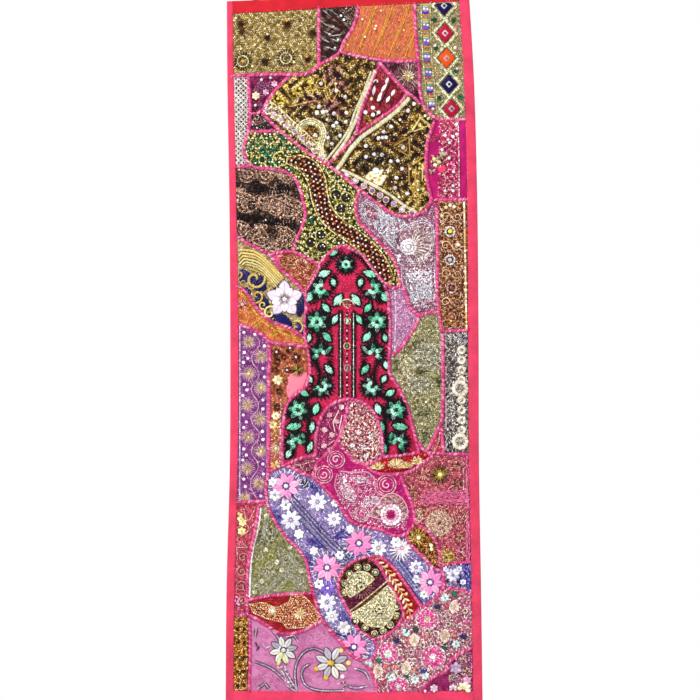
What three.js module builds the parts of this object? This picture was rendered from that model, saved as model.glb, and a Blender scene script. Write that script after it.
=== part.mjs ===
// Embroidered patchwork wall hanging: a long upright ground panel that carries the sewn patches,
// bound on its four sides by strips of folded cloth. It hangs by its top edge.
//
// Frame, in millimetres: X across, to the right as seen from the front; -Y towards the viewer;
// +Z up. The origin is the middle of the top edge, where the hanging is held.
import * as THREE from "three";

// ---- driving dimensions -------------------------------------------------------------------

const GAP = 0.3; // clearance between neighbouring pieces of cloth
const PANEL_THICKNESS = 2.2; // ground cloth with its layers of patch cloth
const BINDING_THICKNESS = 3.2; // strip folded over the raw edge of the panel
const BINDING_PROUD = 0.7; // how far the strip's face stands in front of the panel's face

const PANEL_CELLS = { across: 22, down: 44 };
const SIDE_CELLS = { across: 2, down: 44 };
const END_CELLS = { across: 22, down: 2 };

// The two sides, section by section from top to bottom. Edges are the cut outline, seams are
// the lines where the binding's inner fold is stitched down.
const SIDES = [
  { z: 10, leftEdge: -246, leftSeam: -235, rightSeam: 216, rightEdge: 237 },
  { z: -160, leftEdge: -245, leftSeam: -233, rightSeam: 227, rightEdge: 247 },
  { z: -400, leftEdge: -241, leftSeam: -228, rightSeam: 234, rightEdge: 254 },
  { z: -680, leftEdge: -239, leftSeam: -223, rightSeam: 236, rightEdge: 257 },
  { z: -940, leftEdge: -240, leftSeam: -225, rightSeam: 238, rightEdge: 258 },
  { z: -1180, leftEdge: -246, leftSeam: -231, rightSeam: 243, rightEdge: 262 },
  { z: -1415, leftEdge: -248, leftSeam: -233, rightSeam: 246, rightEdge: 265 },
];

// The two ends, section by section from left to right.
const ENDS = [
  { x: -250, topEdge: -11, topSeam: -36, bottomSeam: -1389, bottomEdge: -1410 },
  { x: -120, topEdge: -6, topSeam: -29, bottomSeam: -1391, bottomEdge: -1412 },
  { x: 0, topEdge: 0, topSeam: -21, bottomSeam: -1393, bottomEdge: -1413 },
  { x: 130, topEdge: 6, topSeam: -15, bottomSeam: -1391, bottomEdge: -1412 },
  { x: 265, topEdge: 11, topSeam: -8, bottomSeam: -1390, bottomEdge: -1411 },
];

// Soft waves of the hanging cloth: each runs slantwise with one wavelength across and one down.
const WAVES = [
  { depth: 2.4, across: 330, down: 1900, phase: 0.1 },
  { depth: 1.5, across: -190, down: 640, phase: 0.45 },
  { depth: 0.8, across: 105, down: -820, phase: 0.7 },
];
const HELD_STRAIGHT = 260; // below this the waves reach about two thirds of their depth
const SIDE_CURL = 3; // how far the side edges turn towards the viewer near the bottom
const HALF_WIDTH = 250;
const LENGTH = 1413;

// ---- the hung surface ---------------------------------------------------------------------

// A smooth curve through one column of a table of sections.
function column(table, key, name) {
  const rows = [...table].sort((a, b) => a[key] - b[key]);
  const curve = new THREE.CubicInterpolant(
    rows.map((row) => row[key]),
    rows.map((row) => row[name]),
    1,
  );
  return (at) => curve.evaluate(at)[0];
}

const side = Object.fromEntries(
  ["leftEdge", "leftSeam", "rightSeam", "rightEdge"].map((name) => [name, column(SIDES, "z", name)]),
);
const end = Object.fromEntries(
  ["topEdge", "topSeam", "bottomSeam", "bottomEdge"].map((name) => [name, column(ENDS, "x", name)]),
);

// How far the middle of the cloth stands behind the X-Z plane: nothing at the held top edge.
function relief(x, z) {
  const down = Math.max(0, -z);
  const loose = 1 - Math.exp(-down / HELD_STRAIGHT);
  const waves = WAVES.reduce(
    (sum, w) => sum + w.depth * Math.sin(2 * Math.PI * (x / w.across + z / w.down + w.phase)),
    0,
  );
  const curl = SIDE_CURL * (down / LENGTH) * Math.abs(x / HALF_WIDTH) ** 3;
  return loose * waves - curl;
}

// ---- cloth as a closed thin solid ---------------------------------------------------------

// A sheet whose outline is given by place(s, t) -> [x, z], with s from 0, left, to 1, right, and
// t from 0, top, to 1, bottom. front and back are its faces' distances from the hung surface.
function sheet({ across, down }, place, front, back) {
  const points = [];
  for (const offset of [front, back])
    for (let row = 0; row <= down; row++)
      for (let col = 0; col <= across; col++) {
        const [x, z] = place(col / across, row / down);
        points.push(x, relief(x, z) + offset, z);
      }
  const perFace = (across + 1) * (down + 1);
  const at = (row, col, face) => face * perFace + row * (across + 1) + col;
  const faces = [];
  const quad = (a, b, c, d) => faces.push(a, b, c, a, c, d);
  for (let row = 0; row < down; row++)
    for (let col = 0; col < across; col++) {
      quad(at(row, col, 0), at(row + 1, col, 0), at(row + 1, col + 1, 0), at(row, col + 1, 0));
      quad(at(row, col, 1), at(row, col + 1, 1), at(row + 1, col + 1, 1), at(row + 1, col, 1));
    }
  for (let row = 0; row < down; row++) {
    quad(at(row, 0, 0), at(row, 0, 1), at(row + 1, 0, 1), at(row + 1, 0, 0));
    quad(at(row, across, 0), at(row + 1, across, 0), at(row + 1, across, 1), at(row, across, 1));
  }
  for (let col = 0; col < across; col++) {
    quad(at(0, col, 0), at(0, col + 1, 0), at(0, col + 1, 1), at(0, col, 1));
    quad(at(down, col, 0), at(down, col, 1), at(down, col + 1, 1), at(down, col + 1, 0));
  }
  const geometry = new THREE.BufferGeometry();
  geometry.setAttribute("position", new THREE.Float32BufferAttribute(points, 3));
  geometry.setIndex(faces);
  geometry.computeVertexNormals();
  return geometry;
}

const mix = THREE.MathUtils.lerp;

// A piece between two side lines and two end lines, all given as functions.
function between(left, right, top, bottom) {
  return (s, t) => {
    const guess = mix(top(0), bottom(0), t);
    const x = mix(left(guess), right(guess), s);
    return [x, mix(top(x), bottom(x), t)];
  };
}

const shifted = (line, by) => (at) => line(at) + by;

// ---- the pieces ---------------------------------------------------------------------------

const clothOf = (color, roughness) => new THREE.MeshStandardMaterial({ color, roughness, metalness: 0 });
const GROUND_CLOTH = clothOf(0xc2385f, 0.9);
const BINDING_CLOTH = clothOf(0xee2f48, 0.85);

const PANEL_FACE = [-PANEL_THICKNESS / 2, PANEL_THICKNESS / 2];
const BINDING_FRONT = -PANEL_THICKNESS / 2 - BINDING_PROUD;
const BINDING_FACE = [BINDING_FRONT, BINDING_FRONT + BINDING_THICKNESS];

const hanging = new THREE.Group();

function add(name, cells, place, [front, back], material) {
  const mesh = new THREE.Mesh(sheet(cells, place, front, back), material);
  mesh.name = name;
  hanging.add(mesh);
}

const innerLeft = shifted(side.leftSeam, GAP);
const innerRight = shifted(side.rightSeam, -GAP);

add(
  "ground_panel",
  PANEL_CELLS,
  between(innerLeft, innerRight, shifted(end.topSeam, -GAP), shifted(end.bottomSeam, GAP)),
  PANEL_FACE,
  GROUND_CLOTH,
);
add(
  "binding_left",
  SIDE_CELLS,
  between(side.leftEdge, side.leftSeam, end.topEdge, end.bottomEdge),
  BINDING_FACE,
  BINDING_CLOTH,
);
add(
  "binding_right",
  SIDE_CELLS,
  between(side.rightSeam, side.rightEdge, end.topEdge, end.bottomEdge),
  BINDING_FACE,
  BINDING_CLOTH,
);
add(
  "binding_top",
  END_CELLS,
  between(innerLeft, innerRight, end.topEdge, end.topSeam),
  BINDING_FACE,
  BINDING_CLOTH,
);
add(
  "binding_bottom",
  END_CELLS,
  between(innerLeft, innerRight, end.bottomSeam, end.bottomEdge),
  BINDING_FACE,
  BINDING_CLOTH,
);

export default hanging;
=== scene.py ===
"""Embroidered patchwork wall hanging: the cloth, cord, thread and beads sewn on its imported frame.

Tables and the hung surface are in millimetres, seen from the front: x to the right, z up and
out towards the viewer. Every mesh is written in metres, in the frame's own axes.
"""

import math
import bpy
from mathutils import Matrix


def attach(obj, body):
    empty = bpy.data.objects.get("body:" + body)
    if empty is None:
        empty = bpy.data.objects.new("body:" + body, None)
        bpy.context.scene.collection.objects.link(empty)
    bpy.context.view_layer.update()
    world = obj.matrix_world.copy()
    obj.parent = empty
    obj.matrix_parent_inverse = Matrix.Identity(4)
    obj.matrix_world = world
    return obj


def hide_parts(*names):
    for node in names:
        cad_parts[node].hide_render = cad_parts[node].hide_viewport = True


bl_info = {
    "name": "Embroidered Patchwork Hanging",
    "version": (1, 0, 0),
    "blender": (4, 5, 0),
    "location": "3D View > Sidebar > Hanging",
    "description": "Sews a patchwork wall hanging from figured cloth, couched cord, thread and beads",
    "category": "Add Mesh",
}

import zlib

import bmesh
import bpy
import numpy as np

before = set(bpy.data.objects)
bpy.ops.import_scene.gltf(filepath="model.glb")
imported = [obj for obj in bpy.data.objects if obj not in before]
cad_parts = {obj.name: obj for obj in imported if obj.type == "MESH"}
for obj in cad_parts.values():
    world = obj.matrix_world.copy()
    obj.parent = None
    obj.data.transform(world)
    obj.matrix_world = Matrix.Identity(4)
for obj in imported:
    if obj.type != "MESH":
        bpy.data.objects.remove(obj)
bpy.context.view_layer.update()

MM = 0.001
TAU = 2 * math.pi

# ---- the hung surface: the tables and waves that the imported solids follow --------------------

SIDE_COLUMNS = ("z", "left edge", "left seam", "right seam", "right edge")
SIDES = (
    (10, -246, -235, 216, 237),
    (-160, -245, -233, 227, 247),
    (-400, -241, -228, 234, 254),
    (-680, -239, -223, 236, 257),
    (-940, -240, -225, 238, 258),
    (-1180, -246, -231, 243, 262),
    (-1415, -248, -233, 246, 265),
)
END_COLUMNS = ("x", "top edge", "top seam", "bottom seam", "bottom edge")
ENDS = (
    (-250, -11, -36, -1389, -1410),
    (-120, -6, -29, -1391, -1412),
    (0, 0, -21, -1393, -1413),
    (130, 6, -15, -1391, -1412),
    (265, 11, -8, -1390, -1411),
)
WAVES = (  # depth, wavelength across, wavelength down, phase
    (2.4, 330, 1900, 0.1),
    (1.5, -190, 640, 0.45),
    (0.8, 105, -820, 0.7),
)
HELD_STRAIGHT = 260
SIDE_CURL = 3
HALF_WIDTH = 250
LENGTH = 1413

PANEL_BACK = -1.1  # how far out from the hung surface each layer lies
PANEL_FRONT = 0.1
FIRST_PATCH = 0.15
TUCKED = 4.0  # how far the patches reach in under the bindings
TURNED_IN = 1.2  # how far the cloth of a patch reaches past its seam
CLEAR = 1.5  # how far needlework and cords keep from a binding, and needlework from a seam


def relief(x, z):
    """How far the middle of the cloth stands behind the plane in which it is held."""
    down = np.maximum(0, -z)
    loose = 1 - np.exp(-down / HELD_STRAIGHT)
    waves = sum(d * np.sin(TAU * (x / a + z / b + p)) for d, a, b, p in WAVES)
    return loose * waves - SIDE_CURL * (down / LENGTH) * np.abs(x / HALF_WIDTH) ** 3


def smooth_line(table, column):
    """A smooth line through one column of a table, as a function of its first column."""
    rows = np.array(sorted(table), float)
    at, value = rows[:, 0], rows[:, column]
    slope = np.gradient(value, at)

    def line(where):
        i = np.clip(np.searchsorted(at, where) - 1, 0, len(at) - 2)
        span = at[i + 1] - at[i]
        t = (where - at[i]) / span
        ends = (2 * t**3 - 3 * t**2 + 1) * value[i] + (3 * t**2 - 2 * t**3) * value[i + 1]
        return ends + span * ((t**3 - 2 * t**2 + t) * slope[i] + (t**3 - t**2) * slope[i + 1])

    return line


EDGE = {name: smooth_line(SIDES, n) for n, name in enumerate(SIDE_COLUMNS) if n}
EDGE.update({name: smooth_line(ENDS, n) for n, name in enumerate(END_COLUMNS) if n})


def room(x, z):
    """How far a place lies inside the seams of the four bindings."""
    aside = np.minimum(x - EDGE["left seam"](z), EDGE["right seam"](z) - x)
    return np.minimum(aside, np.minimum(EDGE["top seam"](x) - z, z - EDGE["bottom seam"](x)))


def in_metres(points):
    """Rows of x, z and out as places in the frame."""
    x, z, out = np.asarray(points, float).T
    return np.stack([x, relief(x, z) - out, z], 1) * MM


# ---- sizes and colours that a user would change ----------------------------------------------


def rgb(colour):
    """A colour written as #rrggbb, as the linear numbers that a socket takes."""
    if not isinstance(colour, str):
        return tuple(colour)
    parts = [int(colour[i : i + 2], 16) / 255 for i in (1, 3, 5)]
    return tuple(p / 12.92 if p <= 0.04045 else ((p + 0.055) / 1.055) ** 2.4 for p in parts)


def hexed(linear):
    """Linear numbers as a hue written rrggbb."""
    parts = (12.92 * c if c <= 0.0031308 else 1.055 * c ** (1 / 2.4) - 0.055 for c in linear)
    return "".join(f"{round(255 * min(1.0, p)):02x}" for p in parts)


def rgba(colour):
    return (*rgb(colour), 1.0)


def length(name, description, default):
    return bpy.props.FloatProperty(
        name=name, description=description, default=default * MM, min=0.0, unit="LENGTH", precision=5
    )


def hue(name, description, default):
    return bpy.props.FloatVectorProperty(
        name=name, description=description, default=rgb(default), subtype="COLOR", min=0.0, max=1.0
    )


class HangingSizes(bpy.types.PropertyGroup):
    """Sizes of the cloth and its trimmings."""

    patch_thickness: length("Patch Thickness", "Thickness of one patch of cloth", 0.4)
    layer_step: length("Layer Step", "Height of one patch above the patch it overlaps", 0.42)
    puff: length("Puff", "How far a patch swells between its seams", 1.1)
    cord_width: length("Cord Width", "Width of the couched seam cord", 9.0)
    cord_height: length("Cord Height", "Height of the couched seam cord", 2.6)
    cell: length("Cell", "Size of the cells that a patch is divided into", 6.0)


class HangingColours(bpy.types.PropertyGroup):
    """Colours of the plain cloth, the cord and the floor."""

    ground: hue("Ground", "Cotton that the patches are sewn on", "#a8284f")
    binding_side: hue("Side Binding", "Cotton strips down the two sides", "#f2466a")
    binding_top: hue("Top Binding", "Cotton strip across the top", "#d52130")
    binding_bottom: hue("Bottom Binding", "Cotton strip across the bottom", "#fc466e")
    cord: hue("Seam Cord", "Twisted cord along the seams", "#f0609c")
    # painted highlight and painted shade: the cord's paler and deeper strands carry the light and shade on
    # its twist
    cord_highlight: hue("Cord Highlight", "Paler strands of the seam cord", "#fca8c8")
    cord_shade: hue("Cord Shade", "Deeper strands of the seam cord", "#d04484")
    cord_tie: hue("Cord Stitch", "Thread that holds the seam cord down", "#a8285c")
    floor: hue("Floor", "Floor of the studio", "#ecebe8")


def size(name):
    """One of the sizes, in millimetres."""
    return getattr(bpy.context.scene.hanging_sizes, name) / MM


def colour(name):
    return tuple(getattr(bpy.context.scene.hanging_colours, name))


# ---- lines on the cloth ------------------------------------------------------------------------

CORNER = 42  # degrees: where a line turns by more than this it has a corner


def unit(v):
    return v / np.maximum(np.linalg.norm(v, axis=-1, keepdims=True), 1e-9)


def curve(points, step=3.0, closed=False):
    """A smooth line through the points, sharp only where it turns a corner."""
    at = np.array(points, float)
    ahead, behind = np.roll(at, -1, 0) - at, at - np.roll(at, 1, 0)
    turn = np.degrees(np.arccos(np.clip((unit(ahead) * unit(behind)).sum(1), -1, 1)))
    sharp = turn > CORNER
    if not closed:
        sharp[[0, -1]] = True
    heading = unit(unit(ahead) + unit(behind))
    pieces = []
    for i in range(len(at) - (not closed)):
        j = (i + 1) % len(at)
        chord = at[j] - at[i]
        far = np.linalg.norm(chord)
        leave = chord if sharp[i] else heading[i] * far
        arrive = chord if sharp[j] else heading[j] * far
        count = max(1, round(far / step))
        t = (np.arange(count) / count)[:, None]
        ends = (2 * t**3 - 3 * t**2 + 1) * at[i] + (3 * t**2 - 2 * t**3) * at[j]
        pieces.append(ends + (t**3 - 2 * t**2 + t) * leave + (t**3 - t**2) * arrive)
    if not closed:
        pieces.append(at[-1:])
    return np.concatenate(pieces)


def looped(line):
    return np.vstack([line, line[:1]])


def run_of(path):
    """How far along the path each of its points is."""
    return np.concatenate([[0], np.cumsum(np.linalg.norm(np.diff(path, axis=0), axis=1))])


def evenly(path, step):
    """The path walked in equal steps of about this length."""
    path = np.asarray(path, float)
    run = run_of(path)
    at = np.linspace(0, run[-1], max(2, round(run[-1] / step) + 1))
    return np.stack([np.interp(at, run, path[:, k]) for k in (0, 1)], 1)


def heading_of(path):
    """The direction of a path at each of its points, in radians."""
    ahead = np.gradient(path, axis=0)
    return np.arctan2(ahead[:, 1], ahead[:, 0])


def offset(path, by):
    """A path moved to its left."""
    ahead = unit(np.gradient(np.asarray(path, float), axis=0))
    return path + by * np.stack([-ahead[:, 1], ahead[:, 0]], 1)


def arc(centre, radius, start=0.0, sweep=360.0, squash=1.0):
    """Part of a circle, by its angles in degrees, or of one squashed upright."""
    count = max(7, round(abs(math.radians(sweep)) * radius / 2))
    a = np.radians(start + sweep * np.linspace(0, 1, count + 1))
    return np.array(centre) + radius * np.stack([np.cos(a), squash * np.sin(a)], 1)


def spiral(centre, radius, turns, start=0.0, flip=1):
    """A curl that winds inwards from its start angle, in degrees."""
    t = np.linspace(0, 1, max(8, round(turns * 14)))
    a = math.radians(start) + flip * TAU * turns * t
    r = radius * (1 - 0.88 * t)
    return np.array(centre) + np.stack([r * np.cos(a), r * np.sin(a)], 1)


def turned(points, degrees, centre=(0, 0)):
    a = math.radians(degrees)
    spin = np.array([[math.cos(a), math.sin(a)], [-math.sin(a), math.cos(a)]])
    return np.array(centre) + np.asarray(points, float) @ spin


def drop(centre, long, turn=0.0, flip=1, wide=0.85):
    """The closed outline of a drop with a bent tip, its round end away from the turn."""
    t = np.linspace(0, TAU, 30)[:-1]
    u, v = np.cos(t), wide * np.sin(t) * np.abs(np.sin(t / 2)) ** 1.5
    v = v + flip * 0.5 * ((1 + u) / 2) ** 2.5
    return turned(long / 2 * np.stack([u, v], 1), turn, centre)


def lens(centre, long, wide, turn=0.0):
    """The closed outline of a leaf with two points."""
    t = np.linspace(-1, 1, 12)
    side = np.stack([t * long / 2, (1 - t**2) * wide / 2], 1)
    return turned(np.vstack([side, -side[1:-1]]), turn, centre)


def inside(outline, points):
    """Which points a closed outline holds."""
    px, pz = points[:, 0, None], points[:, 1, None]
    ax, az = outline.T
    bx, bz = np.roll(outline, -1, 0).T
    crossing = (az > pz) != (bz > pz)
    rise = np.where(bz == az, 1, bz - az)
    return (crossing & (px < ax + (pz - az) * (bx - ax) / rise)).sum(1) % 2 == 1


def nearest(line, points):
    """For each point, the closest place on a closed line and how far away it is."""
    along = np.roll(line, -1, 0) - line
    size_of = np.maximum((along**2).sum(1), 1e-9)
    t = np.clip(((points[:, None] - line) * along).sum(2) / size_of, 0, 1)
    spot = line + t[..., None] * along
    far = np.linalg.norm(points[:, None] - spot, axis=2)
    best = far.argmin(1)
    rows = np.arange(len(points))
    return spot[rows, best], far[rows, best]


def signed_area(outline):
    x, z = outline.T
    return (x * np.roll(z, -1) - z * np.roll(x, -1)).sum() / 2


def grown(outline, by):
    """A closed outline moved outwards, or inwards where by is less than nothing."""
    ahead = unit(np.roll(outline, -1, 0) - np.roll(outline, 1, 0))
    out = np.stack([ahead[:, 1], -ahead[:, 0]], 1)
    return outline + by * math.copysign(1, signed_area(outline)) * out


def runs(flags, fewest):
    """The stretches of flags that are set, as slices."""
    steps = np.flatnonzero(np.diff(np.concatenate([[0], flags.astype(np.int8), [0]])))
    return [slice(a, b) for a, b in zip(steps[::2], steps[1::2]) if b - a >= fewest]


# ---- materials ---------------------------------------------------------------------------------


def join(tree, value, socket):
    if isinstance(value, bpy.types.NodeSocket):
        tree.links.new(value, socket)
    else:
        socket.default_value = value


def place(tree, kind, **settings):
    """Adds a node. A setting names one of its sockets, to link or to set, or a property of its own."""
    node = tree.nodes.new(kind)
    for name, value in settings.items():
        socket = node.inputs.get(name.replace("_", " "))
        if socket is None:
            setattr(node, name, value)
        else:
            join(tree, value, socket)
    return node


def maths(tree, operation, *values):
    node = place(tree, "ShaderNodeMath", operation=operation)
    for value, socket in zip(values, node.inputs):
        join(tree, value, socket)
    return node.outputs[0]


def blended(tree, share, first, second):
    """A mix of two colours."""
    node = place(tree, "ShaderNodeMix", data_type="RGBA")
    for value, n in ((share, 0), (first, 6), (second, 7)):
        join(tree, value, node.inputs[n])
    return node.outputs[2]


KINDS = {"colour": "NodeSocketColor", "number": "NodeSocketFloat", "vector": "NodeSocketVector"}


def effect(name, takes, gives, build):
    """A node group, made once: its inputs with their kinds and defaults, and its outputs."""
    tree = bpy.data.node_groups.get(name)
    if tree:
        return tree
    tree = bpy.data.node_groups.new(name, "ShaderNodeTree")
    for label, (kind, default) in takes.items():
        socket = tree.interface.new_socket(label, in_out="INPUT", socket_type=KINDS[kind])
        socket.default_value = default
    for label, kind in gives.items():
        tree.interface.new_socket(label, in_out="OUTPUT", socket_type=KINDS[kind])
    given = tree.nodes.new("NodeGroupInput").outputs
    out = tree.nodes.new("NodeGroupOutput")
    for label, socket in build(tree, given).items():
        tree.links.new(socket, out.inputs[label])
    return tree


def use(tree, group, **settings):
    return place(tree, "ShaderNodeGroup", node_tree=group, **settings).outputs


def weave_effect():
    """Two sets of threads that cross: their height, and a mask of the gaps between them."""

    def build(tree, given):
        cloth = place(tree, "ShaderNodeMapping", Vector=given["Vector"], Rotation=given["Turn"])
        threads = [
            place(tree, "ShaderNodeTexWave", wave_type="BANDS", bands_direction=axis, Vector=cloth.outputs[0],
                  Scale=given["Threads"], Distortion=0.6, Detail=1.0).outputs["Fac"]
            for axis in "XZ"
        ]
        slub = place(tree, "ShaderNodeTexNoise", Vector=cloth.outputs[0], Scale=160.0, Detail=3.0)
        over = maths(tree, "MAXIMUM", *threads)
        height = maths(tree, "MULTIPLY_ADD", slub.outputs[0], 0.8, over)
        return {"Height": height, "Gaps": maths(tree, "SUBTRACT", 1.0, over)}

    takes = {"Vector": ("vector", (0, 0, 0)), "Turn": ("vector", (0, 0, 0)), "Threads": ("number", 300.0)}
    return effect("woven_threads", takes, {"Height": "number", "Gaps": "number"}, build)


def dye_and_gap_shade_effect():
    """Uneven dye and handling: a colour with cloudy and fine changes of depth, and painted shade in the gaps
    between threads.
    """

    def build(tree, given):
        cloud = place(tree, "ShaderNodeTexNoise", Vector=given["Vector"], Scale=given["Scale"], Detail=3.0)
        grain = place(tree, "ShaderNodeTexNoise", Vector=given["Vector"], Scale=420.0, Detail=2.0)
        both = maths(tree, "MULTIPLY_ADD", grain.outputs[0], 0.5, cloud.outputs[0])
        lit = maths(tree, "MULTIPLY_ADD", maths(tree, "SUBTRACT", both, 0.75), given["Strength"], 1.0)
        # painted shade: the colour is made darker in the gaps between the threads
        depth = maths(tree, "MULTIPLY_ADD", given["Gaps"], -0.25, lit)
        shade = place(tree, "ShaderNodeHueSaturation", Value=depth, Color=given["Colour"])
        return {"Colour": shade.outputs[0]}

    takes = {
        "Vector": ("vector", (0, 0, 0)),
        "Colour": ("colour", (0.5, 0.5, 0.5, 1)),
        "Scale": ("number", 25.0),
        "Strength": ("number", 0.8),
        "Gaps": ("number", 0.0),
    }
    return effect("uneven_dye", takes, {"Colour": "colour"}, build)


def figure_effect():
    """A woven figure: soft spots, or curling stripes, laid over the ground of the cloth."""

    def build(tree, given):
        cloth = place(tree, "ShaderNodeMapping", vector_type="TEXTURE", Vector=given["Vector"],
                      Rotation=given["Turn"], Scale=given["Repeat"])
        noise = place(tree, "ShaderNodeTexNoise", Vector=cloth.outputs[0], Scale=1.0, Detail=1.0,
                      Distortion=0.6).outputs[0]
        curls = maths(tree, "SINE", maths(tree, "MULTIPLY", noise, 38.0))
        curls = maths(tree, "MULTIPLY_ADD", curls, 0.16, 0.5)
        mixed = maths(tree, "MULTIPLY_ADD", maths(tree, "SUBTRACT", curls, noise), given["Curls"], noise)
        low = maths(tree, "SUBTRACT", given["Share"], 0.03)
        high = maths(tree, "ADD", given["Share"], 0.03)
        mask = place(tree, "ShaderNodeMapRange", Value=mixed, From_Min=low, From_Max=high)
        return {"Mask": mask.outputs[0]}

    takes = {
        "Vector": ("vector", (0, 0, 0)),
        "Turn": ("vector", (0, 0, 0)),
        "Repeat": ("vector", (0.01, 0.01, 0.01)),
        "Curls": ("number", 0.0),
        "Share": ("number", 0.5),
    }
    return effect("woven_figure", takes, {"Mask": "number"}, build)


def new_material(name, **plain):
    """A material and its Principled shader, whose unchanging values are set on its own sockets."""
    material = bpy.data.materials.new(name)
    material.use_nodes = True
    shader = material.node_tree.nodes["Principled BSDF"]
    for label, value in plain.items():
        shader.inputs[label.replace("_", " ")].default_value = value
    return material, material.node_tree, shader


def bumped(tree, shader, height, distance):
    bump = place(tree, "ShaderNodeBump", Height=height, Distance=distance)
    tree.links.new(bump.outputs[0], shader.inputs["Normal"])


# kind of cloth: roughness, sheen, threads, how metallic its figure is and how high
CLOTHS = {
    "cotton": (0.88, 0.12, 300.0, 0.0, 0.0),
    "silk": (0.55, 0.08, 420.0, 0.0, 0.3),
    "satin": (0.4, 0.08, 600.0, 0.0, 0.2),
    "velvet": (0.9, 0.25, 500.0, 0.0, 0.5),
    "brocade": (0.6, 0.06, 320.0, 0.4, 1.2),
    "gauze": (0.75, 0.2, 220.0, 0.0, 0.6),
}


def cloth_material(name, kind, ground, figure=None, repeat=(5, 5), turn=0, curls=0.0, share=0.5, third=None):
    """Cloth of one kind, with a figure of this repeat, in millimetres, woven in a second colour."""
    rough, sheen, threads, shine, raised = CLOTHS[kind]
    material, tree, shader = new_material(
        name, Roughness=rough, Sheen_Weight=sheen, Sheen_Roughness=0.4, Specular_IOR_Level=0.2
    )
    where = tree.nodes.new("ShaderNodeTexCoord").outputs["Object"]
    slant = (0.0, math.radians(turn), 0.0)
    weave = use(tree, weave_effect(), Vector=where, Turn=slant, Threads=threads)
    shade, height = rgba(ground), weave["Height"]
    if figure:
        across, down = (r * MM for r in repeat)
        woven = figure_effect()
        mask = use(tree, woven, Vector=where, Turn=slant, Repeat=(across, across, down), Curls=curls,
                   Share=share)["Mask"]
        shade = blended(tree, mask, rgba(ground), rgba(figure))
        if third:
            fleck = use(tree, woven, Vector=where, Turn=slant, Repeat=(across * 0.6, across, down * 0.6),
                        Share=0.56)["Mask"]
            shade = blended(tree, fleck, shade, rgba(third))
        height = maths(tree, "MULTIPLY_ADD", mask, 2.0 * raised, height)
        if shine:
            tree.links.new(maths(tree, "MULTIPLY", mask, shine), shader.inputs["Metallic"])
            tree.links.new(maths(tree, "MULTIPLY_ADD", mask, -0.22, rough), shader.inputs["Roughness"])
    # the cloth's colour, with painted shade in the gaps of its weave
    coloured = use(tree, dye_and_gap_shade_effect(), Vector=where, Scale=28.0, Strength=0.7, Colour=shade, Gaps=weave["Gaps"])
    tree.links.new(coloured["Colour"], shader.inputs["Base Color"])
    bumped(tree, shader, height, 0.00035)
    return material


# finish of sewn work: roughness, metallic, coat, sheen, height of its grain, specular level
FINISHES = {
    "beads": (0.2, 0.0, 0.22, 0.0, 0.02, 0.35),
    "floss": (0.5, 0.0, 0.0, 0.04, 0.12, 0.15),
    "metal": (0.38, 0.5, 0.0, 0.0, 0.10, 0.4),
    "sequins": (0.26, 0.35, 0.5, 0.0, 0.03, 0.5),
}


def finish_material(finish):
    """The material of one finish, which takes its colours from the piece's own tint."""
    name = "sewn_" + finish
    if name in bpy.data.materials:
        return bpy.data.materials[name]
    rough, metallic, coat, sheen, grain, shine = FINISHES[finish]
    material, tree, shader = new_material(
        name, Roughness=rough, Metallic=metallic, Coat_Weight=coat, Coat_Roughness=0.08,
        Sheen_Weight=sheen, Sheen_Roughness=0.35, Specular_IOR_Level=shine
    )
    tint = place(tree, "ShaderNodeAttribute", attribute_name="tint").outputs["Color"]
    where = tree.nodes.new("ShaderNodeTexCoord").outputs["Object"]
    coloured = use(tree, dye_and_gap_shade_effect(), Vector=where, Colour=tint, Scale=60.0, Strength=0.35)
    tree.links.new(coloured["Colour"], shader.inputs["Base Color"])
    noise = place(tree, "ShaderNodeTexNoise", Vector=where, Scale=1400.0, Detail=2.0)
    bumped(tree, shader, noise.outputs[0], grain * MM)
    return material


# ---- meshes ------------------------------------------------------------------------------------


def as_piece(name, mesh, material):
    """The mesh as a piece of the hanging, at the origin, that rides on its body."""
    piece = bpy.data.objects.new(name, mesh)
    bpy.context.scene.collection.objects.link(piece)
    mesh.materials.append(material)
    mesh.polygons.foreach_set("use_smooth", np.ones(len(mesh.polygons), bool))
    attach(piece, "root")
    return piece


def to_mesh(bm, name):
    """Ends a bmesh drawn in x, z and out: hangs it in the frame as a mesh with its faces outwards."""
    verts = list(bm.verts)
    for vert, at in zip(verts, in_metres([v.co for v in verts])):
        vert.co = at
    bmesh.ops.recalc_face_normals(bm, faces=bm.faces)
    mesh = bpy.data.meshes.new(name)
    bm.to_mesh(mesh)
    bm.free()
    return mesh


def grid_on(across, down, spot):
    """A grid whose vertices lie where spot(s, t) says, s and t running from 0 to 1."""
    bm = bmesh.new()
    bmesh.ops.create_grid(bm, x_segments=across, y_segments=down, size=0.5)
    for vert in bm.verts:
        vert.co = spot(vert.co.x + 0.5, 0.5 - vert.co.y)
    return bm


def between(left, right, top, bottom):
    """Places between two side lines and two end lines, by shares across and down."""

    def spot(s, t):
        guess = top(0) + t * (bottom(0) - top(0))
        x = left(guess) + s * (right(guess) - left(guess))
        return x, top(x) + t * (bottom(x) - top(x))

    return spot


def moved(name, by):
    return lambda at: EDGE[name](at) + by


def cut_cloth(outline, cell):
    """Flat cloth in square cells that fills an outline, its edge drawn to the outline."""
    low, high = outline.min(0), outline.max(0)
    across, down = (int(n) for n in np.maximum(2, np.ceil((high - low) / cell)))
    bm = grid_on(across, down, lambda s, t: (*(low + (s, 1 - t) * (high - low)), 0.0))
    faces = list(bm.faces)
    held = inside(outline, np.array([f.calc_center_median()[:2] for f in faces]))
    bmesh.ops.delete(bm, geom=[f for f, keep in zip(faces, held) if not keep], context="FACES")
    edge = [v for v in bm.verts if v.is_boundary]
    drawn, _ = nearest(outline, np.array([v.co[:2] for v in edge]))
    for vert, at in zip(edge, drawn):
        vert.co[:2] = at
    bmesh.ops.remove_doubles(bm, verts=bm.verts, dist=0.4)
    bmesh.ops.dissolve_degenerate(bm, dist=0.05, edges=bm.edges)
    return bm


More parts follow.
